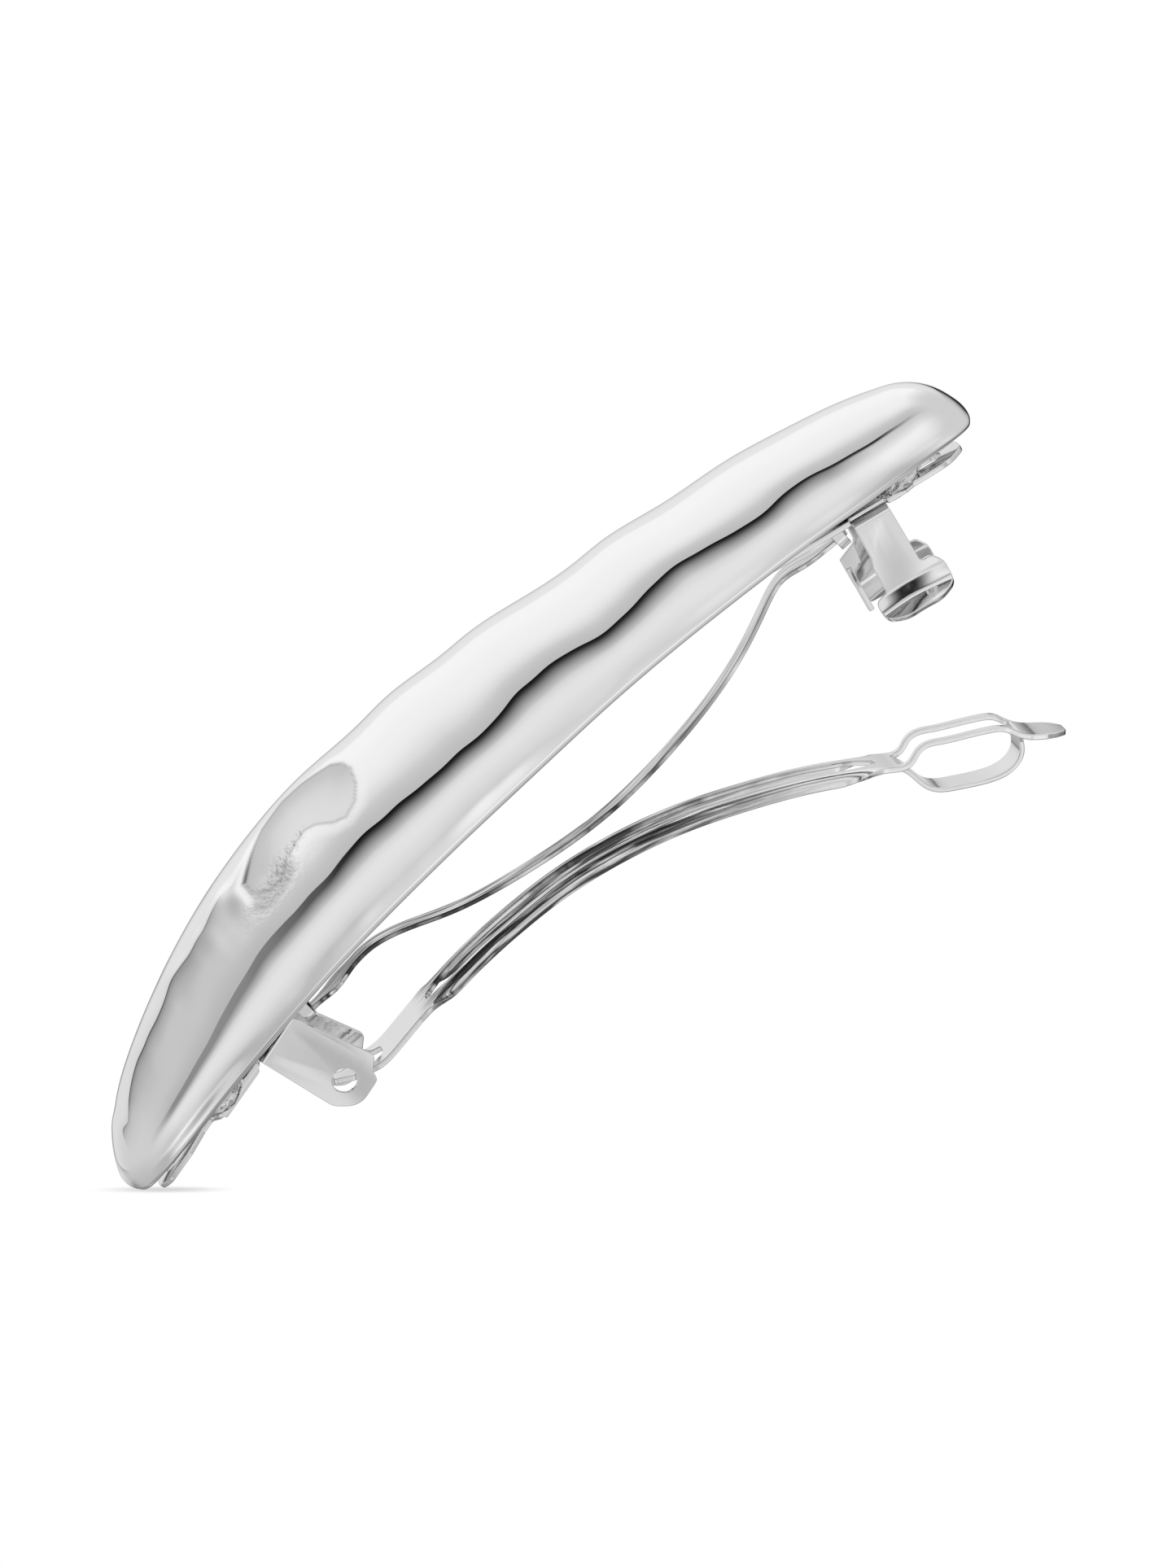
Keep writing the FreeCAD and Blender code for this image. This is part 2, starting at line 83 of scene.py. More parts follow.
class Path:
    """A smooth curve in a plane through points (a, b), measured along its length."""

    def __init__(self, points):
        p = np.array(points, float)
        chord = np.concatenate([[0], np.cumsum(np.hypot(*np.diff(p, axis=0).T))])
        fa, fb = spline_function(chord, p[:, 0]), spline_function(chord, p[:, 1])
        t = np.linspace(0, chord[-1], 4000)
        q = np.stack([fa(t), fb(t)], 1)
        s = np.concatenate([[0], np.cumsum(np.hypot(*np.diff(q, axis=0).T))])
        self.length = s[-1]
        self.s, self.q = s, q
        tangent = np.gradient(q, s, axis=0)
        self.t = tangent / np.linalg.norm(tangent, axis=1)[:, None]

    def at(self, u):
        """Point and unit tangent at each length u."""
        p = np.stack([np.interp(u, self.s, self.q[:, k]) for k in (0, 1)], -1)
        t = np.stack([np.interp(u, self.s, self.t[:, k]) for k in (0, 1)], -1)
        t = t / np.linalg.norm(t, axis=-1)[..., None]
        before = np.minimum(u, 0)
        after = np.maximum(u - self.length, 0)
        return p + t * (before + after)[..., None], t

    def length_at(self, a):
        """The length at which the curve reaches first coordinate a."""
        return float(np.interp(a, self.q[:, 0], self.s))


def smooth_step(x, low, high):
    t = np.clip((np.asarray(x, float) - low) / (high - low), 0, 1)
    return t * t * (3 - 2 * t)


def rounded(points, segments=7):
    """An outline from (x, y, corner radius) points."""
    ring = []
    n = len(points)
    for i, (x, y, r) in enumerate(points):
        here = Vector((x, y))
        a = Vector(points[i - 1][:2]) - here
        b = Vector(points[(i + 1) % n][:2]) - here
        if r <= 0 or a.length < 1e-9 or b.length < 1e-9:
            ring.append((x, y))
            continue
        half = a.angle(b) / 2
        if half > math.pi / 2 - 0.02:
            ring.append((x, y))
            continue
        cut = min(r / math.tan(half), a.length * 0.48, b.length * 0.48)
        r = cut * math.tan(half)
        p, q = here + a.normalized() * cut, here + b.normalized() * cut
        centre = here + (a.normalized() + b.normalized()).normalized() * (r / math.sin(half))
        v0, v1 = p - centre, q - centre
        turn = v0.angle_signed(v1)
        for k in range(segments + 1):
            v = v0.copy()
            v.rotate(Matrix.Rotation(-turn * k / segments, 2))
            ring.append(tuple(centre + v))
    return ring


def slot_ring(cx, cy, length, width, n=10):
    """A long round-ended hole."""
    r, a = width / 2, length / 2 - width / 2
    ring = []
    for side in (1, -1):
        for k in range(n + 1):
            t = math.pi * k / n - math.pi / 2
            ring.append((cx + side * (a + r * math.cos(t)), cy + side * r * math.sin(t)))
    return ring


def circle_ring(cx, cy, r, n=40):
    turns = [2 * math.pi * k / n for k in range(n)]
    return [(cx + r * math.cos(t), cy + r * math.sin(t)) for t in turns]


# ------------------------------------------------------------
# Meshes
# ------------------------------------------------------------


def make_object(name, verts, faces, normals=None, dark_streak_lanes=None):
    mesh = bpy.data.meshes.new(name)
    mesh.from_pydata((np.asarray(verts) * MM).tolist(), [], [list(map(int, f)) for f in faces])
    mesh.polygons.foreach_set("use_smooth", [True] * len(mesh.polygons))
    if normals is not None:
        mesh.normals_split_custom_set_from_vertices([tuple(n) for n in normals])
    # Flat positions, with the strength of the painted dark streaks as the third value.
    if dark_streak_lanes is not None:
        attribute = mesh.attributes.new("dark_streak_lane", "FLOAT_VECTOR", "POINT")
        attribute.data.foreach_set("vector", np.asarray(dark_streak_lanes, np.float32).ravel())
    mesh.update()
    obj = bpy.data.objects.new(name, mesh)
    bpy.context.scene.collection.objects.link(obj)
    return obj


def sheet_metal(outline, holes, thick, edge, bend, step=0.4, cross=()):
    """A flat blank with rounded edges and holes, cut into short lengths and bent by bend(u, v, w).
    Returns vertices, faces, normals and the flat positions. Corner radii have to be larger than the edge."""
    data = bpy.data.curves.new("blank", "CURVE")
    data.dimensions = "2D"
    data.fill_mode = "BOTH"
    data.extrude = thick / 2 - edge
    data.bevel_depth = edge
    data.bevel_resolution = 2
    data.offset = -edge
    for ring in [outline] + list(holes):
        s = data.splines.new("POLY")
        s.points.add(len(ring) - 1)
        for p, (x, y) in zip(s.points, ring):
            p.co = (x, y, 0, 1)
        s.use_cyclic_u = True
    obj = bpy.data.objects.new("blank", data)
    bpy.context.scene.collection.objects.link(obj)
    bpy.context.view_layer.update()
    mesh = bpy.data.meshes.new_from_object(obj.evaluated_get(bpy.context.evaluated_depsgraph_get()))
    bpy.data.objects.remove(obj)
    bm = bmesh.new()
    bm.from_mesh(mesh)
    bpy.data.meshes.remove(mesh)
    bmesh.ops.remove_doubles(bm, verts=bm.verts, dist=1e-4)
    lo = min(v.co.x for v in bm.verts)
    hi = max(v.co.x for v in bm.verts)
    cuts = [((lo + k * step, 0, 0), (1, 0, 0)) for k in range(1, int((hi - lo) / step) + 1)]
    cuts += [((0, y, 0), (0, 1, 0)) for y in cross]
    for place, across in cuts:
        everything = bm.verts[:] + bm.edges[:] + bm.faces[:]
        bmesh.ops.bisect_plane(bm, geom=everything, plane_co=place, plane_no=across, dist=1e-4)
    bmesh.ops.recalc_face_normals(bm, faces=bm.faces)
    bm.verts.ensure_lookup_table()
    flat = np.array([v.co for v in bm.verts], float)
    normal = np.zeros_like(flat)
    for i, v in enumerate(bm.verts):
        if abs(v.co.z) > thick / 2 - 1e-3:
            normal[i] = (0, 0, math.copysign(1, v.co.z))
            continue
        total = Vector((0, 0, 0))
        for f in v.link_faces:
            total += f.normal * f.calc_area()
        normal[i] = total.normalized() if total.length > 0 else (0, 0, 1)
    faces = [[v.index for v in f.verts] for f in bm.faces]
    bm.free()
    u, v, w = flat.T
    h = 2e-3
    p = bend(u, v, w)
    ju = (bend(u + h, v, w) - bend(u - h, v, w)) / (2 * h)
    jv = (bend(u, v + h, w) - bend(u, v - h, w)) / (2 * h)
    jw = (bend(u, v, w + h) - bend(u, v, w - h)) / (2 * h)
    n = np.cross(jv, jw) * normal[:, :1]
    n = n + np.cross(jw, ju) * normal[:, 1:2]
    n = n + np.cross(ju, jv) * normal[:, 2:]
    if np.median(np.einsum("ij,ij->i", ju, np.cross(jv, jw))) < 0:
        n = -n
        faces = [f[::-1] for f in faces]
    n /= np.linalg.norm(n, axis=1)[:, None] + 1e-12
    return p, faces, n, flat


def joined(parts):
    """Several (vertices, faces, normals, flat positions) as one."""
    faces = []
    start = 0
    for v, f, _, _ in parts:
        faces += [[start + i for i in face] for face in f]
        start += len(v)
    verts, normals, flat = [np.concatenate([p[k] for p in parts]) for k in (0, 2, 3)]
    return verts, faces, normals, flat


def along(path):
    """Bends a blank along a path in the XZ plane: u is length, v is Y, w is off the upper side."""

    def bend(u, v, w):
        p, t = path.at(u)
        x = p[..., 0] - t[..., 1] * w
        z = p[..., 1] + t[..., 0] * w
        return np.stack([x, v, z], -1)

    return bend


# ------------------------------------------------------------
# Materials
# ------------------------------------------------------------


def chrome(name, colour, roughness, bumps):
    """Plated metal. Each bump is (scale, depth, name of the attribute that masks it or None)."""
    mat = bpy.data.materials.new(name)
    mat.use_nodes = True
    nodes, links = mat.node_tree.nodes, mat.node_tree.links
    bsdf = nodes["Principled BSDF"]
    bsdf.inputs["Base Color"].default_value = (*colour, 1)
    bsdf.inputs["Metallic"].default_value = 1.0
    bsdf.inputs["Roughness"].default_value = roughness
    coords = nodes.new("ShaderNodeTexCoord")
    last = None
    for scale, depth, mask in bumps:
        noise = nodes.new("ShaderNodeTexNoise")
        noise.inputs["Scale"].default_value = scale
        noise.inputs["Detail"].default_value = 2.0
        links.new(coords.outputs["Object"], noise.inputs["Vector"])
        bump = nodes.new("ShaderNodeBump")
        bump.inputs["Distance"].default_value = depth
        links.new(noise.outputs["Fac"], bump.inputs["Height"])
        if mask:
            attribute = nodes.new("ShaderNodeAttribute")
            attribute.attribute_name = mask
            links.new(attribute.outputs["Fac"], bump.inputs["Strength"])
        else:
            bump.inputs["Strength"].default_value = 1.0
        if last:
            links.new(last.outputs["Normal"], bump.inputs["Normal"])
        last = bump
    links.new(last.outputs["Normal"], bsdf.inputs["Normal"])
    return mat


SHELL = chrome("chrome_shell", (0.93, 0.93, 0.932), 0.018, [(2600.0, 0.0001, "pitted")])


def add_patch(mat, attribute_name, colour, roughness):
    """A duller finish where the attribute says so."""
    nodes, links = mat.node_tree.nodes, mat.node_tree.links
    bsdf = nodes["Principled BSDF"]
    attribute = nodes.new("ShaderNodeAttribute")
    attribute.attribute_name = attribute_name
    mix = nodes.new("ShaderNodeMix")
    mix.data_type = "RGBA"
    rough = nodes.new("ShaderNodeMapRange")
    colour_now, rough_now = bsdf.inputs["Base Color"], bsdf.inputs["Roughness"]
    if colour_now.is_linked:
        links.new(colour_now.links[0].from_socket, mix.inputs["A"])
        links.new(rough_now.links[0].from_socket, rough.inputs["To Min"])
    else:
        mix.inputs["A"].default_value = colour_now.default_value[:]
        rough.inputs["To Min"].default_value = rough_now.default_value
    mix.inputs["B"].default_value = (*colour, 1)
    links.new(attribute.outputs["Fac"], mix.inputs["Factor"])
    links.new(mix.outputs["Result"], bsdf.inputs["Base Color"])
    rough.inputs["To Max"].default_value = roughness
    links.new(attribute.outputs["Fac"], rough.inputs["Value"])
    links.new(rough.outputs[0], bsdf.inputs["Roughness"])


add_patch(SHELL, "matt_patch", (0.55, 0.55, 0.552), 0.12)
# A near-black painted shade line along the dent's crease, with a rougher finish.
add_patch(SHELL, "painted_crease_shade", (0.05, 0.05, 0.05), 0.3)


def add_painted_dark_streaks(mat, dark, low, high):
    """Painted dark streaks along the blank, standing in for darker reflections, as strong as the lane's third
    value.
    """
    nodes, links = mat.node_tree.nodes, mat.node_tree.links
    bsdf = nodes["Principled BSDF"]
    dark_streak_lane = nodes.new("ShaderNodeAttribute")
    dark_streak_lane.attribute_name = "dark_streak_lane"
    stretch = nodes.new("ShaderNodeVectorMath")
    stretch.operation = "MULTIPLY"
    stretch.inputs[1].default_value = (0.16, 3.2, 0.0)
    links.new(dark_streak_lane.outputs["Vector"], stretch.inputs[0])
    noise = nodes.new("ShaderNodeTexNoise")
    noise.inputs["Scale"].default_value = 1.0
    noise.inputs["Detail"].default_value = 4.0
    noise.inputs["Distortion"].default_value = 0.6
    links.new(stretch.outputs["Vector"], noise.inputs["Vector"])
    shade = nodes.new("ShaderNodeMapRange")
    for key, value in (("From Min", low), ("From Max", high), ("To Min", 1.0), ("To Max", 0.0)):
        shade.inputs[key].default_value = value
    links.new(noise.outputs["Fac"], shade.inputs["Value"])
    split = nodes.new("ShaderNodeSeparateXYZ")
    links.new(dark_streak_lane.outputs["Vector"], split.inputs[0])
    amount = nodes.new("ShaderNodeMath")
    amount.operation = "MULTIPLY"
    links.new(shade.outputs[0], amount.inputs[0])
    links.new(split.outputs["Z"], amount.inputs[1])
    mix = nodes.new("ShaderNodeMix")
    mix.data_type = "RGBA"
    mix.inputs["A"].default_value = bsdf.inputs["Base Color"].default_value[:]
    mix.inputs["B"].default_value = (*dark, 1)
    links.new(amount.outputs[0], mix.inputs["Factor"])
    links.new(mix.outputs["Result"], bsdf.inputs["Base Color"])


STEEL = chrome("plated_steel", (0.88, 0.88, 0.884), 0.07, [(900.0, 0.000004, None)])
SPRING = chrome("plated_spring", (0.88, 0.88, 0.884), 0.08, [(1500.0, 0.000006, None)])
# The spring steel gets painted dark streaks in place of darker reflections.
add_painted_dark_streaks(SPRING, (0.08, 0.08, 0.082), 0.44, 0.62)
SOLDER = chrome("solder", (0.84, 0.84, 0.845), 0.13, [(1400.0, 0.00008, None)])

# ------------------------------------------------------------
# Shell
# ------------------------------------------------------------

# Position along the clip, half width at the rim, height of the rim, height of the crown.
STATIONS = [
    (-46.95, 0.05, 2.33, 2.4),
    (-46.91, 0.42, 2.02, 2.75),
    (-46.7, 1.0, 1.55, 3.3),
    (-46.0, 2.2, 1.1, 4.6),
    (-44.0, 4.0, 1.5, 7.0),
    (-40.5, 5.7, 2.4, 9.5),
    (-35.0, 7.0, 3.6, 12.1),
    (-28.0, 7.9, 4.8, 14.7),
    (-20.0, 8.3, 5.7, 16.65),
    (-12.5, 8.3, 6.1, 17.3),
    (-6.5, 8.1, 6.2, 17.1),
    (-3.3, 8.0, 6.2, 17.2),
    (2.0, 7.9, 6.2, 16.7),
    (10.0, 7.6, 6.1, 15.7),
    (18.0, 7.2, 5.6, 14.65),
    (25.0, 6.8, 4.9, 13.15),
    (32.0, 6.3, 4.0, 11.9),
    (38.5, 5.5, 2.9, 10.05),
    (43.0, 4.4, 2.0, 8.4),
    (45.5, 3.2, 1.4, 6.8),
    (46.8, 2.0, 1.2, 4.9),
    (47.27, 0.95, 1.6, 3.4),
    (47.39, 0.38, 2.05, 2.75),
    (47.42, 0.05, 2.33, 2.4),
]
# Height of the crown along the clip, at the crests and hollows of its slow swells.
CROWN = [
    (-44.5, 6.4),
    (-42.0, 8.45),
    (-40.0, 9.68),
    (-34.0, 12.52),
    (-27.0, 14.98),
    (-20.0, 16.6),
    (-13.0, 17.3),
    (-7.0, 17.12),
    (-3.5, 17.24),
    (2.0, 16.7),
    (5.0, 16.55),
    (11.0, 15.45),
    (15.5, 14.78),
    (18.0, 14.62),
    (24.0, 13.32),
    (30.0, 12.28),
    (35.0, 11.06),
    (41.0, 9.22),
    (44.0, 7.9),
]
# Degrees by which the middle of the near flank leans back, at the crests and hollows of the same swells.
FLANK = [
    (-47, 2.0),
    (-42, 5.0),
    (-37, 8.3),
    (-32, 3.0),
    (-26, -1.0),
    (-18, 3.0),
    (-10, 1.6),
    (-3, 4.7),
    (4, 1.0),
    (10, -1.4),
    (14, 0.5),
    (19, -2.8),
    (24, -4.5),
    (28, -0.6),
    (34, -4.0),
    (38, -0.5),
    (43, -2.0),
    (47, -1.0),
]
# Outline of the dent: position along the clip and, round the section, the angle from the near rim in radians
# times a typical radius. The first sides are its sharp upper edge.
SECTION_RADIUS = 9.0
DENT_DEPTH, SEAM_DEPTH = 0.22, 0.05
SEAM_SIDES = 6
PATCH = [
    (-22.3, 10.1),
    (-20.3, 11.7),
    (-18.3, 13.1),
    (-15.7, 13.8),
    (-13.4, 13.4),
    (-10.6, 12.4),
    (-9.8, 11.4),
    (-9.5, 10.2),
    (-9.9, 8.7),
    (-10.9, 7.5),
    (-12.3, 7.0),
    (-13.4, 7.4),
    (-14.6, 8.4),
    (-15.6, 8.8),
    (-16.8, 8.6),
    (-18.3, 8.2),
    (-19.6, 7.4),
    (-21.0, 7.6),
    (-22.3, 8.6),
]


def ring_distance(px, py, ring):
    """Signed distance to a closed outline (negative inside), and the side it is nearest to."""
    best = np.full(px.shape, 1e9)
    side = np.zeros(px.shape, int)
    inside = np.zeros(px.shape, bool)
    for i in range(len(ring)):
        (ax, ay), (bx, by) = ring[i], ring[(i + 1) % len(ring)]
        ex, ey = bx - ax, by - ay
        t = np.clip(((px - ax) * ex + (py - ay) * ey) / (ex**2 + ey**2), 0, 1)
        d = np.hypot(px - ax - t * ex, py - ay - t * ey)
        side = np.where(d < best, i, side)
        best = np.minimum(best, d)
        crosses = (ay > py) != (by > py)
        inside ^= crosses & (px < ex * (py - ay) / (ey if abs(ey) > 1e-9 else 1e-9) + ax)
    return np.where(inside, -best, best), side


SHELL_WALL = 1.1
LIP_HEIGHT = 0.5
# Angles round the section, in radians from the near rim: the middle of the near flank and how far its lean
# reaches, and the same for the shoulder under the crown.
FLANK_MIDDLE, FLANK_REACH = 0.585, 0.42
SHOULDER_MIDDLE, SHOULDER_REACH = 1.2, 0.3
# Soft swellings elsewhere on the crown and the far flank: position along the clip, angle, their two radii in
# the same units, and height.
SWELLINGS = [
    (-36.0, 1.15, 5.0, 0.35, 0.16),
    (-29.0, 0.9, 4.5, 0.3, -0.14),
    (-5.0, 2.3, 9.0, 0.5, 0.25),
    (14.0, 2.5, 7.0, 0.4, -0.2),
    (30.0, 2.1, 7.0, 0.5, 0.2),
    (-26.0, 2.4, 7.0, 0.5, 0.25),
    (-40.0, 2.2, 5.0, 0.5, -0.15),
]


def shell_profile(count):
    """Position, half width, rim height, crown height and flank lean at places along the clip."""
    st = np.array(STATIONS)
    steps = np.hypot(np.diff(st[:, 0]), np.hypot(np.diff(st[:, 1]), np.diff(st[:, 3]) * 0.6))
    t = np.concatenate([[0], np.cumsum(steps)])
    fx, fw, fr, fc = [spline_function(t, st[:, k]) for k in range(4)]
    tt = np.linspace(0, t[-1], count)
    x, w, rim, crown = fx(tt), np.maximum(fw(tt), 0.04), fr(tt), fc(tt)
    along_crown = spline_function([p[0] for p in CROWN], [p[1] for p in CROWN])(x)
    crown = crown + (along_crown - crown) * smooth_step(w, 3.6, 4.6)
    flank = spline_function([p[0] for p in FLANK], [p[1] for p in FLANK])(x)
    # Small ripples left by polishing.
    for waves, phase, degrees in ((1.1, 0.4, 0.3), (1.9, 2.0, 0.14)):
        flank = flank + degrees * np.sin(waves * x + phase)
    return x, w, rim, crown, flank


def lean_push(x, a, w, high, flank):
    """How far the near side is pushed out. Tilting the surface by an angle at one place is a push that grows
    on one side of it and shrinks on the other."""
    rate = np.sqrt((w[:, None] * np.sin(a)[None, :]) ** 2 + (high[:, None] * np.cos(a)[None, :]) ** 2)
    lean = -np.radians(flank)[:, None] * rate
    off = (a[None, :] - FLANK_MIDDLE) / FLANK_REACH
    push = lean * (a[None, :] - FLANK_MIDDLE) * np.exp(-(off**2))
    push *= smooth_step(a, 0.0, 0.14)[None, :]
    # The shoulder below the crown is uneven towards the hinge end.
    uneven = 2.6 * np.sin(0.95 * x + 0.6) + 1.0 * np.sin(1.7 * x) + 0.25 * np.sin(3.1 * x + 2.0)
    uneven = np.radians(uneven * smooth_step(-x, 19.0, 25.0))[:, None]
    off = (a[None, :] - SHOULDER_MIDDLE) / SHOULDER_REACH
    push += uneven * rate * (a[None, :] - SHOULDER_MIDDLE) * np.exp(-(off**2))
    return push


def add_dent(x, a, push):
    """A shallow dent on the upper flank towards the hinge end. Returns the deeper push, how matt and pitted
    the skin is, and how strong the painted shade along its crease is."""
    across = np.repeat(x[:, None], len(a), 1)
    upwards = np.repeat(a[None, :], len(x), 0) * SECTION_RADIUS
    gap, nearest = ring_distance(across, upwards, PATCH)
    seam_and_back = PATCH[: SEAM_SIDES + 1] + PATCH[1:SEAM_SIDES][::-1]
    from_seam = np.abs(ring_distance(across, upwards, seam_and_back)[0])
    matt = smooth_step(-gap, -0.45, 0.3) * (0.4 + 0.6 * np.exp(-((from_seam / 2.4) ** 2)))
    push = push - DENT_DEPTH * smooth_step(-gap, -1.2, 1.6)
    seam = np.exp(-((gap / 0.13) ** 2)) * (nearest < SEAM_SIDES)
    push = push - SEAM_DEPTH * seam
    deepest = np.exp(-(((x[:, None] + 22.0) / 1.6) ** 2))
    # The crease line is painted shade. It is strongest along the sharp upper edge, most of all where the dent
    # is deepest.
    painted_crease_shade = np.exp(-((gap / (0.12 + 0.1 * deepest)) ** 2))
    painted_crease_shade *= np.where(nearest < SEAM_SIDES, 0.4 + 0.5 * deepest, 0.3)
    # The lower edge is pitted, most of all at its tail towards the hinge end.
    pitted = np.exp(-(((gap + 0.1) / 0.55) ** 2)) * (nearest >= SEAM_SIDES)
    tail = ((x[:, None] + 20.5) / 2.8) ** 2 + ((a[None, :] - 0.84) / 0.13) ** 2
    pitted = np.clip(pitted * (0.45 + 0.55 * smooth_step(-x, 12, 18)[:, None]) + np.exp(-tail), 0, 1)
    matt = np.maximum(matt, 0.75 * smooth_step(np.exp(-tail), 0.25, 0.6))
    return push, matt, painted_crease_shade, pitted


def arches(x, a, half, tall, base, push):
    """Points of the half section at each place, pushed along its normal."""
    ca, sa = np.cos(a)[None, :], np.sin(a)[None, :]
    y = -half[:, None] * ca
    z = base[:, None] + tall[:, None] * sa
    ny = -ca / half[:, None]
    nz = sa / tall[:, None]
    length = np.sqrt(ny**2 + nz**2)
    y = y + push * ny / length
    z = z + push * nz / length
    return np.stack([np.repeat(x[:, None], len(a), 1), y, z], -1)


def closed_rings(outer, inner, lip, lips=9):
    """Each ring: the outer arch, the far lip, the inner arch backwards, the near lip."""
    rings = []
    for o, n, drop in zip(outer, inner, lip):
        ring = list(o)
        for side, p, q in ((1, o[-1], n[-1]), (-1, n[0], o[0])):
            c = (p + q) / 2
            r = np.linalg.norm(p - q) / 2
            for k in range(1, lips):
                f = math.pi * k / lips
                e = (p - c) / max(np.linalg.norm(p - c), 1e-9)
                ring.append(c + e * r * math.cos(f) + np.array([0, 0, -1]) * min(r, drop) * math.sin(f))
            if side == 1:
                ring += list(n[::-1])
        rings.append(ring)
    return np.array(rings)


def tube_faces(count, m):
    """Faces of a tube of count rings with m points each, closed at both ends."""
    faces = []
    for i in range(count - 1):
        for k in range(m):
            k2 = (k + 1) % m
            faces.append((i * m + k, i * m + k2, (i + 1) * m + k2, (i + 1) * m + k))
    faces.append(tuple(range(m))[::-1])
    faces.append(tuple((count - 1) * m + k for k in range(m)))
    return [f[::-1] for f in faces]


def build_shell():
    count, around = ((460, 240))
    x, w, rim, crown, flank = shell_profile(count)
    a = np.linspace(0, math.pi, around)
    lip = np.minimum(LIP_HEIGHT, w * 0.3)
    high = np.maximum(crown - rim - lip, 0.05)
    wall = np.minimum(SHELL_WALL, w * 0.45)
    push, matt, painted_crease_shade, pitted = add_dent(x, a, lean_push(x, a, w, high, flank))
    for bx, ba, rx, ra, up in SWELLINGS:
        d2 = ((x[:, None] - bx) / rx) ** 2 + ((a[None, :] - ba) / ra) ** 2
        push += up * np.exp(-d2) * np.clip(w / 6.0, 0, 1)[:, None]
    outer = arches(x, a, w, high, rim + lip, push)
    inner = arches(x, a, w - wall, np.maximum(high - wall, 0.03), rim + lip, push * 0.5)
    rings = closed_rings(outer, inner, lip)
    m = rings.shape[1]
    obj = make_object("shell_skin", rings.reshape(-1, 3), tube_faces(count, m))
    # pitted masks bumps, matt_patch a duller finish, and the crease field the painted shade line.
    for label, values in (("pitted", pitted), ("matt_patch", matt), ("painted_crease_shade", painted_crease_shade)):
        field = np.zeros((count, m), np.float32)
        field[:, :around] = values
        attribute = obj.data.attributes.new(label, "FLOAT", "POINT")
        attribute.data.foreach_set("value", field.ravel())
    obj.data.materials.append(SHELL)
    return obj


shell = build_shell()
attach(shell, "base")
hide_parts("shell")

# ------------------------------------------------------------
# Base plate
# ------------------------------------------------------------

ARCH_R, ARCH_HALF, ARCH_RISE = 125.0, 27.0, 6.93


def strip_height(x):
    x = np.asarray(x, float)
    inner = np.minimum(np.abs(x), ARCH_HALF)
    slope = ARCH_HALF / math.sqrt(ARCH_R**2 - ARCH_HALF**2)
    return ARCH_RISE - (ARCH_R - np.sqrt(ARCH_R**2 - inner**2)) - slope * (np.abs(x) - inner)


def strip_bend(u, v, w):
    """u is X itself."""
    z = strip_height(u)
    slope = (strip_height(u + 0.01) - strip_height(u - 0.01)) / 0.02
    run = np.sqrt(1 + slope**2)
    return np.stack([u - slope / run * w, v, z + w / run], -1)


def both_sides(points):
    """A closed outline from its near half (negative Y), mirrored."""
    return list(points) + [(x, -y, r) for x, y, r in reversed(points)]


# Thickness of the stamping, half the strip's width, and the radius of its folds at mid thickness.
THICK = 0.5
HALF = 3.3
FOLD = 0.5


def strip_plate():
    fold_y = HALF - THICK / 2 - FOLD + 0.12
    half = [
        (-45.0, -0.9, 1.2),
        (-44.0, -2.1, 1.2),
        (-41.2, -2.1, 0.8),
        (-39.2, -1.4, 0.5),
        (-38.1, -1.4, 0.3),
        (-37.2, -HALF, 0.5),
        (-31.9, -HALF, 0.15),
        (-31.75, -fold_y, 0.1),
        (-27.0, -fold_y, 0.1),
        (-26.85, -HALF, 0.15),
        (34.0, -HALF, 0.15),
        (34.15, -fold_y, 0.1),
        (37.35, -fold_y, 0.1),
        (37.5, -HALF, 0.15),
        (39.2, -HALF, 0.6),
        (39.9, -2.9, 0.6),
        (43.4, -2.75, 2.0),
        (45.0, -1.0, 1.3),
    ]
    holes = [
        slot_ring(-42.0, 0.0, 3.6, 1.9),
        slot_ring(42.0, 0.0, 2.6, 1.9),
        slot_ring(-21.6, 0.0, 5.4, 3.0),
        slot_ring(28.6, 0.0, 5.4, 3.0),
    ]
    return sheet_metal(rounded(both_sides(half)), holes, THICK, 0.09, strip_bend, 0.7)


def hinge_ear(side):
    """Folded down from the strip's edge, with the hole that the arm's lug turns in."""
    tilt = math.radians(14.0)
    along_t = np.array([math.cos(tilt), 0, math.sin(tilt)])
    down_n = np.array([math.sin(tilt), 0, -math.cos(tilt)])
    pivot = np.array([-27.7, 0, -3.25])
    ear_top = -6.95
    arc = FOLD * math.pi / 2

    def ear(u, v, w):
        # v runs down the blank from the fold line, u along it.
        f = np.clip(v / FOLD, 0, math.pi / 2)
        past = np.maximum(v - arc, 0)
        before = np.minimum(v, 0)
        out = HALF - THICK / 2 - FOLD + (FOLD + w) * np.sin(f) + before
        deep = ear_top + FOLD - (FOLD + w) * np.cos(f) + past
        out = out - 0.10 * np.sin(1.0 * u + 0.25 * v + 0.4) * smooth_step(past, 0.0, 1.5)
        base = pivot[None, :] + u[:, None] * along_t + deep[:, None] * down_n
        base[:, 1] = side * out
        return base

    hole_at = arc - (ear_top + FOLD)
    outline = rounded(
        [
            (-2.3, -0.25, 0),
            (2.1, -0.25, 0),
            (3.15, hole_at + 0.9, 0.6),
            (1.9, hole_at + 1.55, 0.5),
            (1.5, hole_at + 2.3, 1.6),
            (-1.2, hole_at + 2.36, 1.9),
            (-2.36, hole_at + 0.4, 1.8),
        ],
        9,
    )
    hole = circle_ring(0, hole_at, 1.06)
    return sheet_metal(outline, [hole], THICK, 0.08, ear, 1.2, np.linspace(0.02, arc, 9))


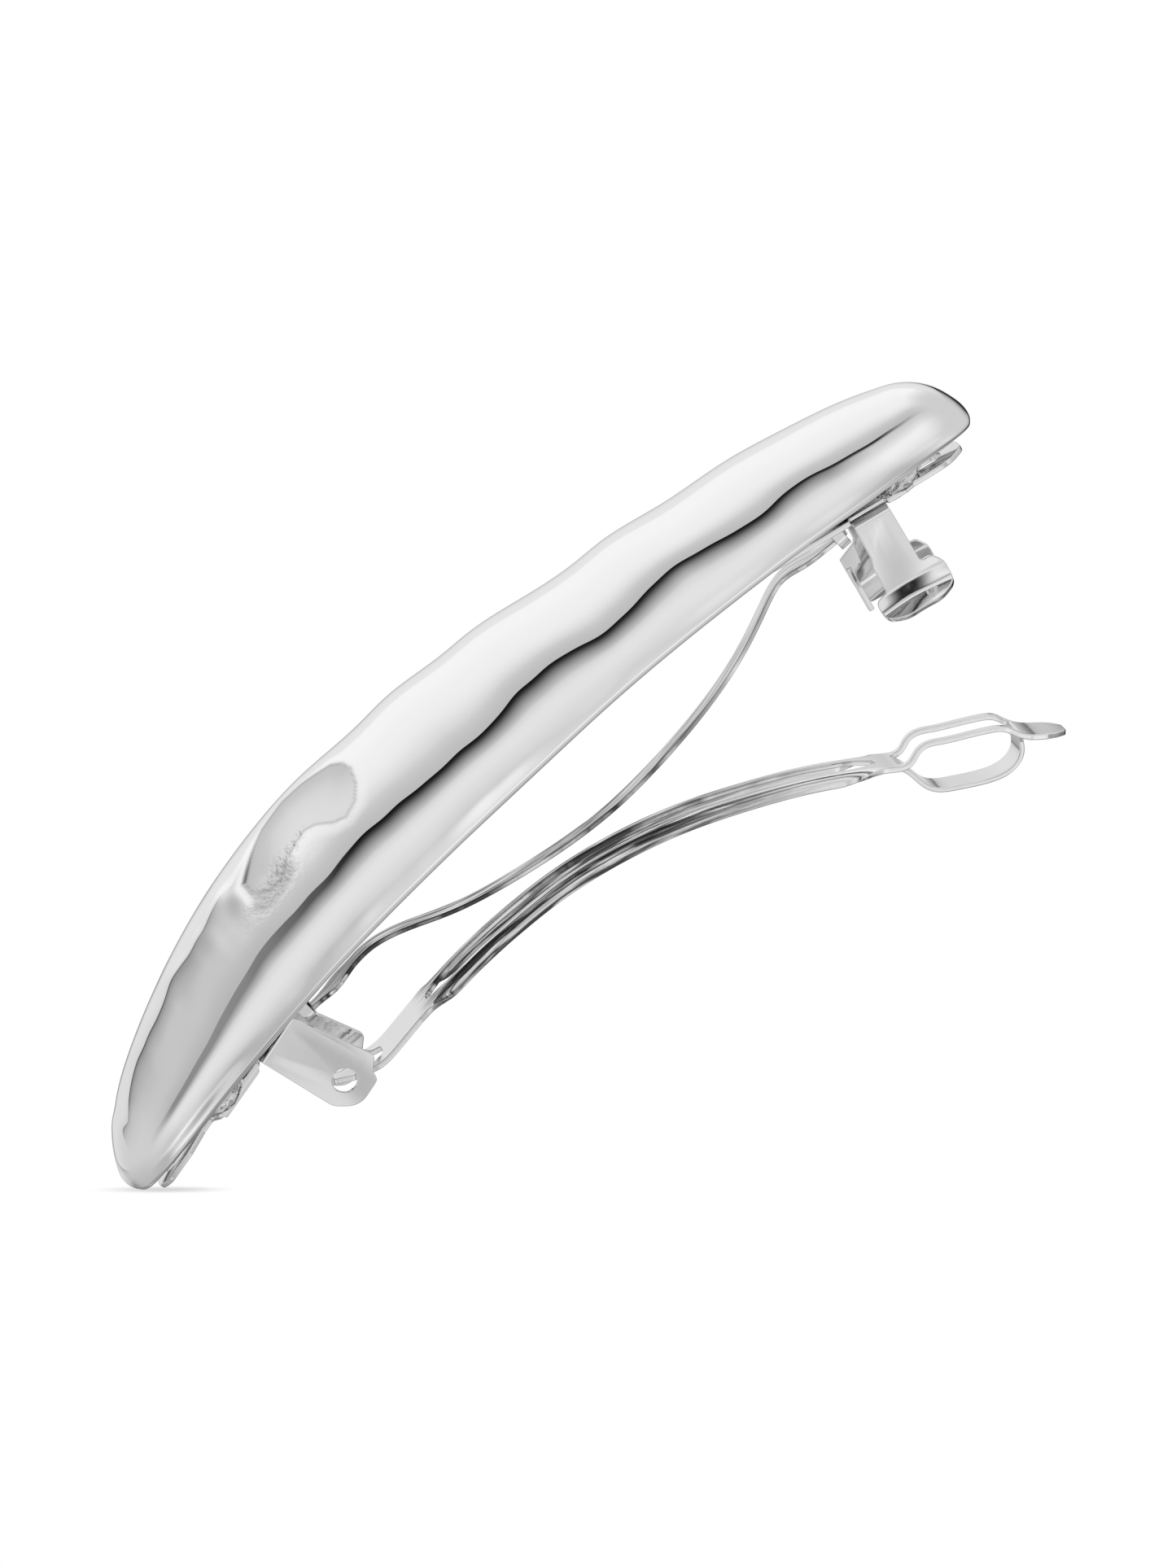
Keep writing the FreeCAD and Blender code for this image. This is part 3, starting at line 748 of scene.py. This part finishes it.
def turned_lip(side, x1, x2, deep):
    """A low lip turned down from the strip's edge, from x1 to x2."""
    fold = 0.35

    def lip(u, v, w):
        f = np.clip(v / fold, 0, math.pi / 2)
        past = np.maximum(v - fold * math.pi / 2, 0)
        out = HALF - THICK / 2 - fold + (fold + w) * np.sin(f) + np.minimum(v, 0)
        z = strip_height(u) - fold + (fold + w) * np.cos(f) - past
        return np.stack([u, side * out, z], -1)

    outline = rounded([(x1, -0.2, 0), (x2, -0.2, 0), (x2 - 0.1, deep, 0.35), (x1 + 0.1, deep, 0.35)])
    return sheet_metal(outline, [], THICK * 0.98, 0.08, lip, 0.7, np.linspace(0.02, 0.55, 6))


def bridge(x, floor):
    """A stirrup under the strip that holds one end of the bow."""
    up = float(strip_height(x))
    half = [(-1.56, up), (-1.56, floor + 1.2), (-1.5, floor + 0.6), (-1.1, floor + 0.2)]
    path = Path(half + [(0.0, floor + 0.17)] + [(-y, z) for y, z in half[::-1]])

    def stirrup(u, v, w):
        p, t = path.at(u)
        return np.stack([x + v, p[:, 0] - t[:, 1] * w, p[:, 1] + t[:, 0] * w], -1)

    n = path.length
    outline = rounded([(0, -0.5, 0), (n, -0.5, 0), (n, 0.5, 0), (0, 0.5, 0)])
    return sheet_metal(outline, [], 0.36, 0.08, stirrup, 0.15)


def build_base():
    parts = [strip_plate()]
    parts += [hinge_ear(side) for side in (-1, 1)]
    for x1, x2, deep in ((-37.0, -32.0, 0.75), (37.6, 38.9, 0.5)):
        parts += [turned_lip(side, x1, x2, deep) for side in (-1, 1)]
    parts += [bridge(-26.2, 1.62), bridge(32.6, 0.52)]
    verts, faces, normals, _ = joined(parts)
    obj = make_object("base_strip", verts, faces, normals)
    obj.data.materials.append(STEEL)
    return obj


base = build_base()
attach(base, "base")
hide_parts("base_plate")

# ------------------------------------------------------------
# Bow spring
# ------------------------------------------------------------

# The bow's route from the hinge end: X and Z.
BOW = [
    (-26.9, 2.42),
    (-23.0, 2.5),
    (-18.9, 2.9),
    (-16.0, 2.2),
    (-12.0, 0.5),
    (-6.0, -1.2),
    (0.0, -2.25),
    (4.5, -2.55),
    (9.0, -2.35),
    (14.0, -1.75),
    (20.0, -0.35),
    (24.0, 1.2),
    (27.0, 2.1),
    (30.0, 1.55),
    (33.4, 1.28),
]


def build_bow():
    path = Path(BOW)
    near = [
        (-26.85, -0.72, 0.3),
        (-24.8, -0.78, 2.0),
        (-23.2, -1.45, 1.2),
        (-22.4, -1.47, 1.2),
        (-20.8, -1.0, 2.5),
        (26.4, -1.0, 2.5),
        (28.2, -1.47, 1.2),
        (29.0, -1.47, 1.2),
        (30.8, -0.85, 2.0),
        (33.35, -0.72, 0.3),
    ]
    ring = rounded(both_sides(near))
    ring = [(path.length_at(x), y) for x, y in ring]
    parts = [sheet_metal(ring, [], 0.4, 0.12, along(path), 0.35)]
    verts, faces, normals, flat = joined(parts)
    # Strength of the painted dark streaks: full towards the hinge end, easing to less than half towards the
    # catch end.
    dark_streak_lanes = flat.copy()
    dark_streak_lanes[:, 2] = 1 - 0.6 * smooth_step(verts[:, 0], 5.0, 20.0)
    obj = make_object("bow_strip", verts, faces, normals, dark_streak_lanes)
    obj.data.materials.append(SPRING)
    return obj


bow = build_bow()
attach(bow, "bow")
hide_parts("bow_spring")
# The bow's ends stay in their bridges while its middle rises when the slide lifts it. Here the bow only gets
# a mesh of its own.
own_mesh(bow)

# ------------------------------------------------------------
# Clasp arm
# ------------------------------------------------------------

# The arm's route from its lugs to the finger tab: X and Z.
ARM = [
    (-28.45, -2.75),
    (-27.7, -3.2),
    (-26.6, -3.9),
    (-25.5, -4.42),
    (-24.4, -4.63),
    (-22.6, -4.5),
    (-20.0, -4.14),
    (-16.0, -3.65),
    (-12.0, -3.45),
    (-8.0, -3.55),
    (-4.0, -3.9),
    (0.0, -4.65),
    (4.0, -5.75),
    (8.0, -7.24),
    (12.0, -9.13),
    (18.0, -12.52),
    (21.0, -14.62),
    (22.6, -15.85),
    (23.5, -16.5),
    (24.2, -16.68),
    (25.4, -16.35),
    (26.2, -16.42),
    (27.3, -17.05),
    (29.3, -18.25),
    (31.0, -19.28),
    (31.9, -20.05),
    (32.35, -21.05),
    (32.9, -22.0),
    (33.8, -22.9),
    (34.8, -23.75),
    (35.5, -24.4),
]
# The lower band of the loop near the arm's end: X and Z.
BAND = [
    (22.5, -15.8),
    (23.5, -16.95),
    (23.75, -18.4),
    (24.1, -19.8),
    (25.8, -21.3),
    (28.2, -22.75),
    (30.1, -23.3),
    (31.6, -22.85),
    (32.4, -21.7),
    (32.65, -21.2),
]


def build_arm():
    path = Path(ARM)
    at = path.length_at
    # Half width of the arm's flat face, and the length of blank that each fold takes up.
    flat_half, arc = 2.02, 0.66

    def bend(u, v, w):
        """The long edges fold down between the hinge and the loop."""
        p, t = path.at(u)
        x0 = p[:, 0]
        fade = smooth_step(x0, -19.0, -15.0) * (1 - smooth_step(x0, 19.5, 22.5))
        top = np.maximum(fade, 1e-3) * math.pi / 2
        k = top / arc
        s = np.clip(np.abs(v) - flat_half, 0, arc)
        past = np.maximum(np.abs(v) - flat_half - arc, 0)
        f = k * s
        y = np.minimum(np.abs(v), flat_half) + np.sin(f) / k + past * np.cos(f)
        drop = (1 - np.cos(f)) / k + past * np.sin(f)
        y = y + w * np.sin(f)
        up = w * np.cos(f) - drop
        taper = 1 - 0.07 * smooth_step(x0, 4, 24)
        side = np.sign(v)
        return np.stack([x0 - t[:, 1] * up, side * y * taper, p[:, 1] + t[:, 0] * up], -1)

    # Half widths of the blank, where its edges stay flat and where they fold.
    plain, folded = 2.68, 3.2
    near = [
        (-28.45, -1.5, 0.2),
        (-28.45, -3.22, 0.25),
        (-26.9, -3.22, 0.25),
        (-26.5, -2.55, 0.5),
        (-25.0, -plain, 2.0),
        (-19.6, -plain, 3.0),
        (-16.4, -folded, 4.0),
        (19.2, -folded, 4.0),
        (22.4, -2.7, 2.5),
        (24.6, -2.66, 2.0),
        (32.0, -2.66, 1.0),
        (33.2, -2.35, 2.0),
        (34.6, -2.2, 1.8),
        (35.5, -1.0, 1.0),
    ]
    far = [(x, -y, r) for x, y, r in reversed(near)]
    throat = [(-25.2, 1.5, 1.2), (-24.0, 0.8, 0.7), (-24.0, -0.8, 0.7), (-25.2, -1.5, 1.2)]
    ring = rounded(near + far + throat)
    ring = [(at(x), y) for x, y in ring]
    slot = rounded(
        [
            (-16.0, -1.45, 2.0),
            (20.4, -1.45, 2.0),
            (22.0, -0.5, 0.6),
            (22.0, 0.5, 0.6),
            (20.4, 1.45, 2.0),
            (-16.0, 1.45, 2.0),
            (-18.4, 0.6, 0.8),
            (-18.4, -0.6, 0.8),
        ]
    )
    slot = [(at(x), y) for x, y in slot]
    window = rounded([(23.3, -1.9, 0.4), (32.45, -1.9, 0.3), (32.45, 1.9, 0.3), (23.3, 1.9, 0.4)])
    window = [(at(x), y) for x, y in window]
    folds = [s * (flat_half + arc * k / 6) for k in range(7) for s in (-1, 1)]
    parts = [sheet_metal(ring, [slot, window], 0.48, 0.09, bend, 0.4, folds)]
    band_path = Path(BAND)
    n = band_path.length
    outline = rounded(both_sides([(0, -2.1, 0.2), (1.2, -1.7, 0.6), (n - 1.0, -1.7, 0.6), (n, -2.0, 0.2)]), 4)
    parts.append(sheet_metal(outline, [], 0.42, 0.11, along(band_path), 0.3))
    verts, faces, normals, flat = joined(parts)
    # Strength of the painted dark streaks: only along the arm's middle, fading out towards both ends.
    dark_streak_lanes = flat.copy()
    x = verts[:, 0]
    dark_streak_lanes[:, 2] = smooth_step(x, -20.0, -17.0) * (1 - smooth_step(x, 4.0, 22.0))
    obj = make_object("arm_bar", verts, faces, normals, dark_streak_lanes)
    obj.data.materials.append(SPRING)
    return obj


arm = build_arm()
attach(arm, "arm")
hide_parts("clasp_arm")

# ------------------------------------------------------------
# Catch wings
# ------------------------------------------------------------


def build_wing(name, side, left, jog, hook):
    """side is -1 for the near wing. left is the plate's edge towards the hinge, jog says how far down the
    blank it steps out to there, and hook gives the hook's start and end down the blank."""
    slope = math.radians(-12.47)
    along_t = np.array([math.cos(slope), 0, math.sin(slope)])
    down_n = np.array([math.sin(slope), 0, -math.cos(slope)])
    origin = np.array([35.8, 0, 1.74])
    arc = FOLD * math.pi / 2
    plate = 5.75
    # The pad turns outwards in two steps; these are its angle, reach and depth by distance past the plate.
    run = np.linspace(0, 6, 600)
    angle = np.radians(27.0 * smooth_step(run, 0.0, 0.6) + 30.0 * smooth_step(run, 1.3, 2.1))
    reach = np.concatenate([[0], np.cumsum(np.sin(angle[1:]) * np.diff(run))])
    depth = np.concatenate([[0], np.cumsum(np.cos(angle[1:]) * np.diff(run))])

    def wing(u, v, w):
        """v runs down the blank: a fold at the strip, the flat plate, then the pad curled outwards."""
        f = np.clip(v / FOLD, 0, math.pi / 2)
        plain = np.clip(v - arc, 0, plate)
        past = np.maximum(v - arc - plate, 0)
        g = np.interp(past, run, angle)
        out = HALF - THICK / 2 - FOLD + (FOLD + w) * np.sin(f) + np.minimum(v, 0)
        deep = FOLD - (FOLD + w) * np.cos(f) + plain
        # w is the outer side of the plate. The pad is dished like the back of a spoon.
        dish = -0.32 * (u / 3.3) ** 2 * smooth_step(past, 0.1, 1.6)
        dish -= 0.10 * (np.maximum(past - 0.9, 0) / 2.5) ** 2
        dish -= 0.07 * np.cos(0.9 * u + 0.35 * v) * smooth_step(plain, 0.2, 2.0)
        lift = w + dish
        out = out + np.interp(past, run, reach) + lift * np.cos(g) - w
        deep = deep + np.interp(past, run, depth) - lift * np.sin(g)
        p = origin[None, :] + u[:, None] * along_t + deep[:, None] * down_n
        p[:, 1] = side * out
        return p

    plate_end = arc + plate
    pad_at = plate_end + 0.9
    ring = rounded(
        [
            (-1.8, -0.25, 0),
            (1.5, -0.25, 0),
            (1.62, plate_end - 0.65, 0.35),
            (2.6, plate_end - 0.75, 0.9),
            (3.35, plate_end + 0.35, 1.1),
            (3.3, pad_at + 1.3, 1.6),
            (1.5, pad_at + 2.35, 2.4),
            (-1.7, pad_at + 2.35, 2.4),
            (-3.3, pad_at + 1.2, 1.5),
            (-3.3, plate_end + 0.5, 0.6),
            (left, plate_end + 0.2, 0.25),
            (left, arc + jog + 0.4, 0.3),
            (-1.85, arc + jog - 0.4, 0.5),
        ],
        8,
    )
    cross = list(np.linspace(0.02, arc, 8)) + list(np.linspace(plate_end, plate_end + 2.2, 22))
    parts = [sheet_metal(ring, [], THICK, 0.1, wing, 0.5, cross)]

    # The hook is a short inward return on the wing's hinge-side edge.
    def hook_bend(u, v, w):
        out = HALF - THICK - u
        p = origin[None, :] + (left + 0.27 + w)[:, None] * along_t + v[:, None] * down_n
        p[:, 1] = side * out
        return p

    outline = rounded([(-0.4, hook[0], 0), (0.2, hook[0], 0.1), (0.2, hook[1], 0.1), (-0.4, hook[1], 0)])
    parts.append(sheet_metal(outline, [], 0.5, 0.1, hook_bend, 2.0))
    verts, faces, normals, _ = joined(parts)
    obj = make_object(name, verts, faces, normals)
    obj.data.materials.append(STEEL)
    return obj


front = build_wing("wing_front", -1, -2.1, 3.2, (4.5, 5.9))
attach(front, "wing_front")
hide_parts("catch_wing_front")
rear = build_wing("wing_rear", 1, -3.7, 2.9, (4.7, 8.9))
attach(rear, "wing_rear")
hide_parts("catch_wing_rear")

# ------------------------------------------------------------
# Solder
# ------------------------------------------------------------


WAVES = 6


def build_solder(name, node, seed, balls):
    """Overlapping flattened balls (centre, then radii) with a lumpy skin."""
    rng = np.random.default_rng(seed)
    bm = bmesh.new()
    for x, y, z, rx, ry, rz in balls:
        ball = bmesh.ops.create_icosphere(bm, subdivisions=5, radius=1.0)
        phase = rng.uniform(0, 6.28, (WAVES, 3))
        for v in ball["verts"]:
            c = np.array(v.co)
            swell = 1.0
            for k in range(WAVES):
                f = 3.0 + 2.3 * k
                first = math.sin(f * c[k % 3] + phase[k, 0])
                second = math.cos(f * c[(k + 1) % 3] + phase[k, 1])
                swell += 0.035 / (1 + 0.4 * k) * first * second
            v.co = Vector((x + rx * c[0] * swell, y + ry * c[1] * swell, z + rz * c[2] * swell))
    bm.verts.ensure_lookup_table()
    bm.verts.index_update()
    verts = np.array([v.co for v in bm.verts], float)
    faces = [[v.index for v in f.verts] for f in bm.faces]
    bm.free()
    obj = make_object(name, verts, faces)
    obj.data.materials.append(SOLDER)
    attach(obj, "base")
    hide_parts(node)
    return obj


build_solder(
    "solder_hinge",
    "solder_bead_hinge_end",
    7,
    [(-35.8, -3.2, 3.2, 2.3, 3.4, 1.0), (-34.6, 0.3, 3.3, 2.6, 2.6, 0.9), (-35.4, 3.2, 3.25, 2.2, 3.4, 1.0)],
)
build_solder(
    "solder_catch",
    "solder_bead_catch_end",
    11,
    [(39.6, -2.4, 2.3, 1.8, 2.6, 1.0), (39.2, 0.4, 2.2, 2.0, 1.8, 0.8), (39.8, 2.4, 2.25, 1.7, 2.6, 1.0)],
)

# ------------------------------------------------------------
# Studio: a light tent with a dark card along the near side, as brightness by direction
# ------------------------------------------------------------

# Angle round the clip's length, from the near side (0) over the top (90) to the far side (180), and
# brightness: below the card's upper edge, and above it.
CARD_EDGE = 39.0
BELOW = [
    (-180, 0.30),
    (-166, 0.62),
    (-150, 0.10),
    (-126, 0.08),
    (-112, 0.50),
    (-92, 0.22),
    (-66, 0.50),
    (-38, 0.46),
    (-26, 0.80),
    (-13, 0.60),
    (-5, 0.68),
    (3, 0.78),
    (11, 0.82),
    (17, 0.77),
    (23, 0.54),
    (27, 0.37),
    (31, 0.20),
    (34, 0.08),
    (36.5, 0.02),
    (39, 0.003),
    (60, 0.002),
]
# The same below the edge towards the catch end, where the card's dark band is narrower and crisper.
BELOW_CATCH_END = [
    (-60, 0.50),
    (-34, 0.64),
    (-13, 0.62),
    (-5, 0.76),
    (3, 0.88),
    (11, 0.93),
    (18, 0.84),
    (26, 0.70),
    (32, 0.62),
    (35, 0.30),
    (37, 0.03),
    (60, 0.002),
]
ABOVE = [
    (20, 0.53),
    (39, 0.54),
    (50, 0.60),
    (60, 0.76),
    (68, 0.86),
    (76, 0.91),
    (95, 0.94),
    (125, 0.98),
    (139, 0.96),
    (141, 0.87),
    (160, 0.82),
    (170, 0.76),
    (180, 0.50),
]
# The same above the edge towards the hinge end, where the tent is greyer, with a dark strip past overhead.
ABOVE_HINGE_END = [
    (20, 0.50),
    (39, 0.50),
    (50, 0.53),
    (75, 0.60),
    (95, 0.50),
    (112, 0.38),
    (122, 0.24),
    (125, 0.08),
    (127, 0.68),
    (150, 0.76),
    (180, 0.76),
]


# Where each change along the clip starts and ends, as how far a direction points towards the catch end (1)
# or the hinge end (-1).
TO_CATCH_END = (0.28, 0.5)
TO_HINGE_END = (-0.22, -0.5)
CARD_FADE = (0.0, -0.5)
CATCH_GLOW = (0.5, 0.8)
END_PANEL = (0.72, 0.97)
END_LEVEL = 0.66


def build_world():
    world = bpy.data.worlds.new("studio")
    world.use_nodes = True
    bpy.context.scene.world = world
    nodes, links = world.node_tree.nodes, world.node_tree.links
    nodes.clear()
    out = nodes.new("ShaderNodeOutputWorld")
    coords = nodes.new("ShaderNodeTexCoord")
    split = nodes.new("ShaderNodeSeparateXYZ")
    links.new(coords.outputs["Generated"], split.inputs[0])

    def calc(op, *values):
        node = nodes.new("ShaderNodeMath")
        node.operation = op
        for k, value in enumerate(values):
            if isinstance(value, (int, float)):
                node.inputs[k].default_value = value
            else:
                links.new(value, node.inputs[k])
        return node.outputs[0]

    def ease(value, x0, x1, y0, y1):
        node = nodes.new("ShaderNodeMapRange")
        node.interpolation_type = "SMOOTHSTEP"
        for k, v in (("From Min", x0), ("From Max", x1), ("To Min", y0), ("To Max", y1)):
            node.inputs[k].default_value = v
        links.new(value, node.inputs["Value"])
        return node.outputs[0]

    def ramp(value, table):
        lo, hi = table[0][0], table[-1][0]
        t = calc("DIVIDE", calc("SUBTRACT", value, float(lo)), float(hi - lo))
        node = nodes.new("ShaderNodeFloatCurve")
        curve = node.mapping.curves[0]
        points = [((deg - lo) / (hi - lo), level) for deg, level in table]
        curve.points[0].location = points[0]
        curve.points[1].location = points[-1]
        for p in points[1:-1]:
            curve.points.new(*p)
        for p in curve.points:
            p.handle_type = "AUTO_CLAMPED"
        node.mapping.update()
        links.new(t, node.inputs["Value"])
        return node.outputs[0]

    def blend(value, first, second):
        rest = calc("MULTIPLY", first, calc("SUBTRACT", 1.0, value))
        return calc("ADD", rest, calc("MULTIPLY", second, value))

    minus_y = calc("MULTIPLY", split.outputs["Y"], -1.0)
    angle = calc("MULTIPLY", calc("ARCTAN2", split.outputs["Z"], minus_y), 180.0 / math.pi)
    to_catch = split.outputs["X"]
    low = blend(ease(to_catch, *TO_CATCH_END, 0.0, 1.0), ramp(angle, BELOW), ramp(angle, BELOW_CATCH_END))
    high = blend(ease(to_catch, *TO_HINGE_END, 0.0, 1.0), ramp(angle, ABOVE), ramp(angle, ABOVE_HINGE_END))
    # Under the clip's horizon the tent has upright folds, which the flat steel parts pick up.
    folds = calc("SINE", calc("ADD", calc("MULTIPLY", to_catch, 9.0), 1.0))
    folds = calc("MULTIPLY", folds, ease(angle, 5.0, -25.0, 0.0, 0.16))
    low = calc("ADD", low, folds)
    # The dark card fades towards the hinge end.
    low = calc("MAXIMUM", low, ease(to_catch, *CARD_FADE, 0.0, 0.28))
    upper = ease(angle, CARD_EDGE - 0.25, CARD_EDGE + 0.25, 0.0, 1.0)
    level = blend(upper, low, high)
    # Towards the catch end nothing is darker than half of full brightness.
    level = calc("MAXIMUM", level, ease(to_catch, *CATCH_GLOW, 0.0, 0.5))
    # The bands would all meet at the clip's two ends, so an even panel stands there.
    level = blend(ease(calc("ABSOLUTE", to_catch), *END_PANEL, 0.0, 1.0), level, END_LEVEL)
    seen = nodes.new("ShaderNodeBackground")
    seen.inputs["Color"].default_value = (1, 1, 1, 1)
    seen.inputs["Strength"].default_value = 1.0
    tent = nodes.new("ShaderNodeBackground")
    links.new(level, tent.inputs["Strength"])
    tent.inputs["Color"].default_value = (1.0, 1.0, 1.0, 1)
    path = nodes.new("ShaderNodeLightPath")
    mix = nodes.new("ShaderNodeMixShader")
    links.new(path.outputs["Is Camera Ray"], mix.inputs[0])
    links.new(tent.outputs[0], mix.inputs[1])
    links.new(seen.outputs[0], mix.inputs[2])
    links.new(mix.outputs[0], out.inputs["Surface"])


build_world()

# ------------------------------------------------------------
# Camera
# ------------------------------------------------------------


def build_camera():
    around, above, roll = math.radians(2.5), math.radians(17.0), math.radians(43.5)
    flat_part = math.cos(above)
    back = Vector((math.sin(around) * flat_part, -math.cos(around) * flat_part, math.sin(above)))
    right0 = Vector((math.cos(around), math.sin(around), 0))
    up0 = back.cross(right0)
    right = right0 * math.cos(roll) - up0 * math.sin(roll)
    up = right0 * math.sin(roll) + up0 * math.cos(roll)
    data = bpy.data.cameras.new("camera")
    data.sensor_width = 36.0
    data.lens = 163.95
    data.clip_start, data.clip_end = 0.01, 10.0
    cam = bpy.data.objects.new("camera", data)
    bpy.context.scene.collection.objects.link(cam)
    place = Matrix((right, up, back)).transposed().to_4x4()
    place.translation = Vector((0.02817, -0.56346, 0.17273))
    cam.matrix_world = place
    bpy.context.scene.camera = cam
    return right, up


image_right, image_up = build_camera()


# ------------------------------------------------------------
# Floor: a clear disc with a painted soft contact shadow, under the tip that the clip stands on. In metres.
# ------------------------------------------------------------

FLOOR_RADIUS = 0.014
SHADOW_RADIUS = 0.0072
SHADOW_SHIFT = 0.0017


def build_floor(right, up):
    verts = np.array([v.co for v in shell.data.vertices], float)
    lowest = verts[np.argmin(verts @ np.array(up))] + np.array(right) * SHADOW_SHIFT
    mesh = bpy.data.meshes.new("floor")
    bm = bmesh.new()
    bmesh.ops.create_circle(bm, cap_ends=True, segments=64, radius=FLOOR_RADIUS)
    bm.to_mesh(mesh)
    bm.free()
    obj = bpy.data.objects.new("floor", mesh)
    bpy.context.scene.collection.objects.link(obj)
    obj.matrix_world = Matrix.Translation(Vector(lowest)) @ up.to_track_quat("Z", "Y").to_matrix().to_4x4()
    mat = bpy.data.materials.new("painted_contact_shadow")
    mat.use_nodes = True
    nodes, links = mat.node_tree.nodes, mat.node_tree.links
    nodes.clear()
    out = nodes.new("ShaderNodeOutputMaterial")
    coords = nodes.new("ShaderNodeTexCoord")
    length = nodes.new("ShaderNodeVectorMath")
    length.operation = "LENGTH"
    links.new(coords.outputs["Object"], length.inputs[0])
    shade = nodes.new("ShaderNodeMapRange")
    shade.interpolation_type = "SMOOTHERSTEP"
    for key, value in (("From Min", 0.0), ("From Max", SHADOW_RADIUS), ("To Min", 0.42), ("To Max", 0.0)):
        shade.inputs[key].default_value = value
    links.new(length.outputs["Value"], shade.inputs["Value"])
    clear = nodes.new("ShaderNodeBsdfTransparent")
    # The shadow is painted: a dark grey emission that fades to clear with distance from the centre.
    dark = nodes.new("ShaderNodeEmission")
    dark.inputs["Color"].default_value = (0.25, 0.25, 0.25, 1)
    mix = nodes.new("ShaderNodeMixShader")
    links.new(shade.outputs[0], mix.inputs[0])
    links.new(clear.outputs[0], mix.inputs[1])
    links.new(dark.outputs[0], mix.inputs[2])
    links.new(mix.outputs[0], out.inputs["Surface"])
    mesh.materials.append(mat)


build_floor(image_right, image_up)

bpy.context.scene.view_settings.view_transform = "Standard"
bpy.context.scene.view_settings.look = "None"
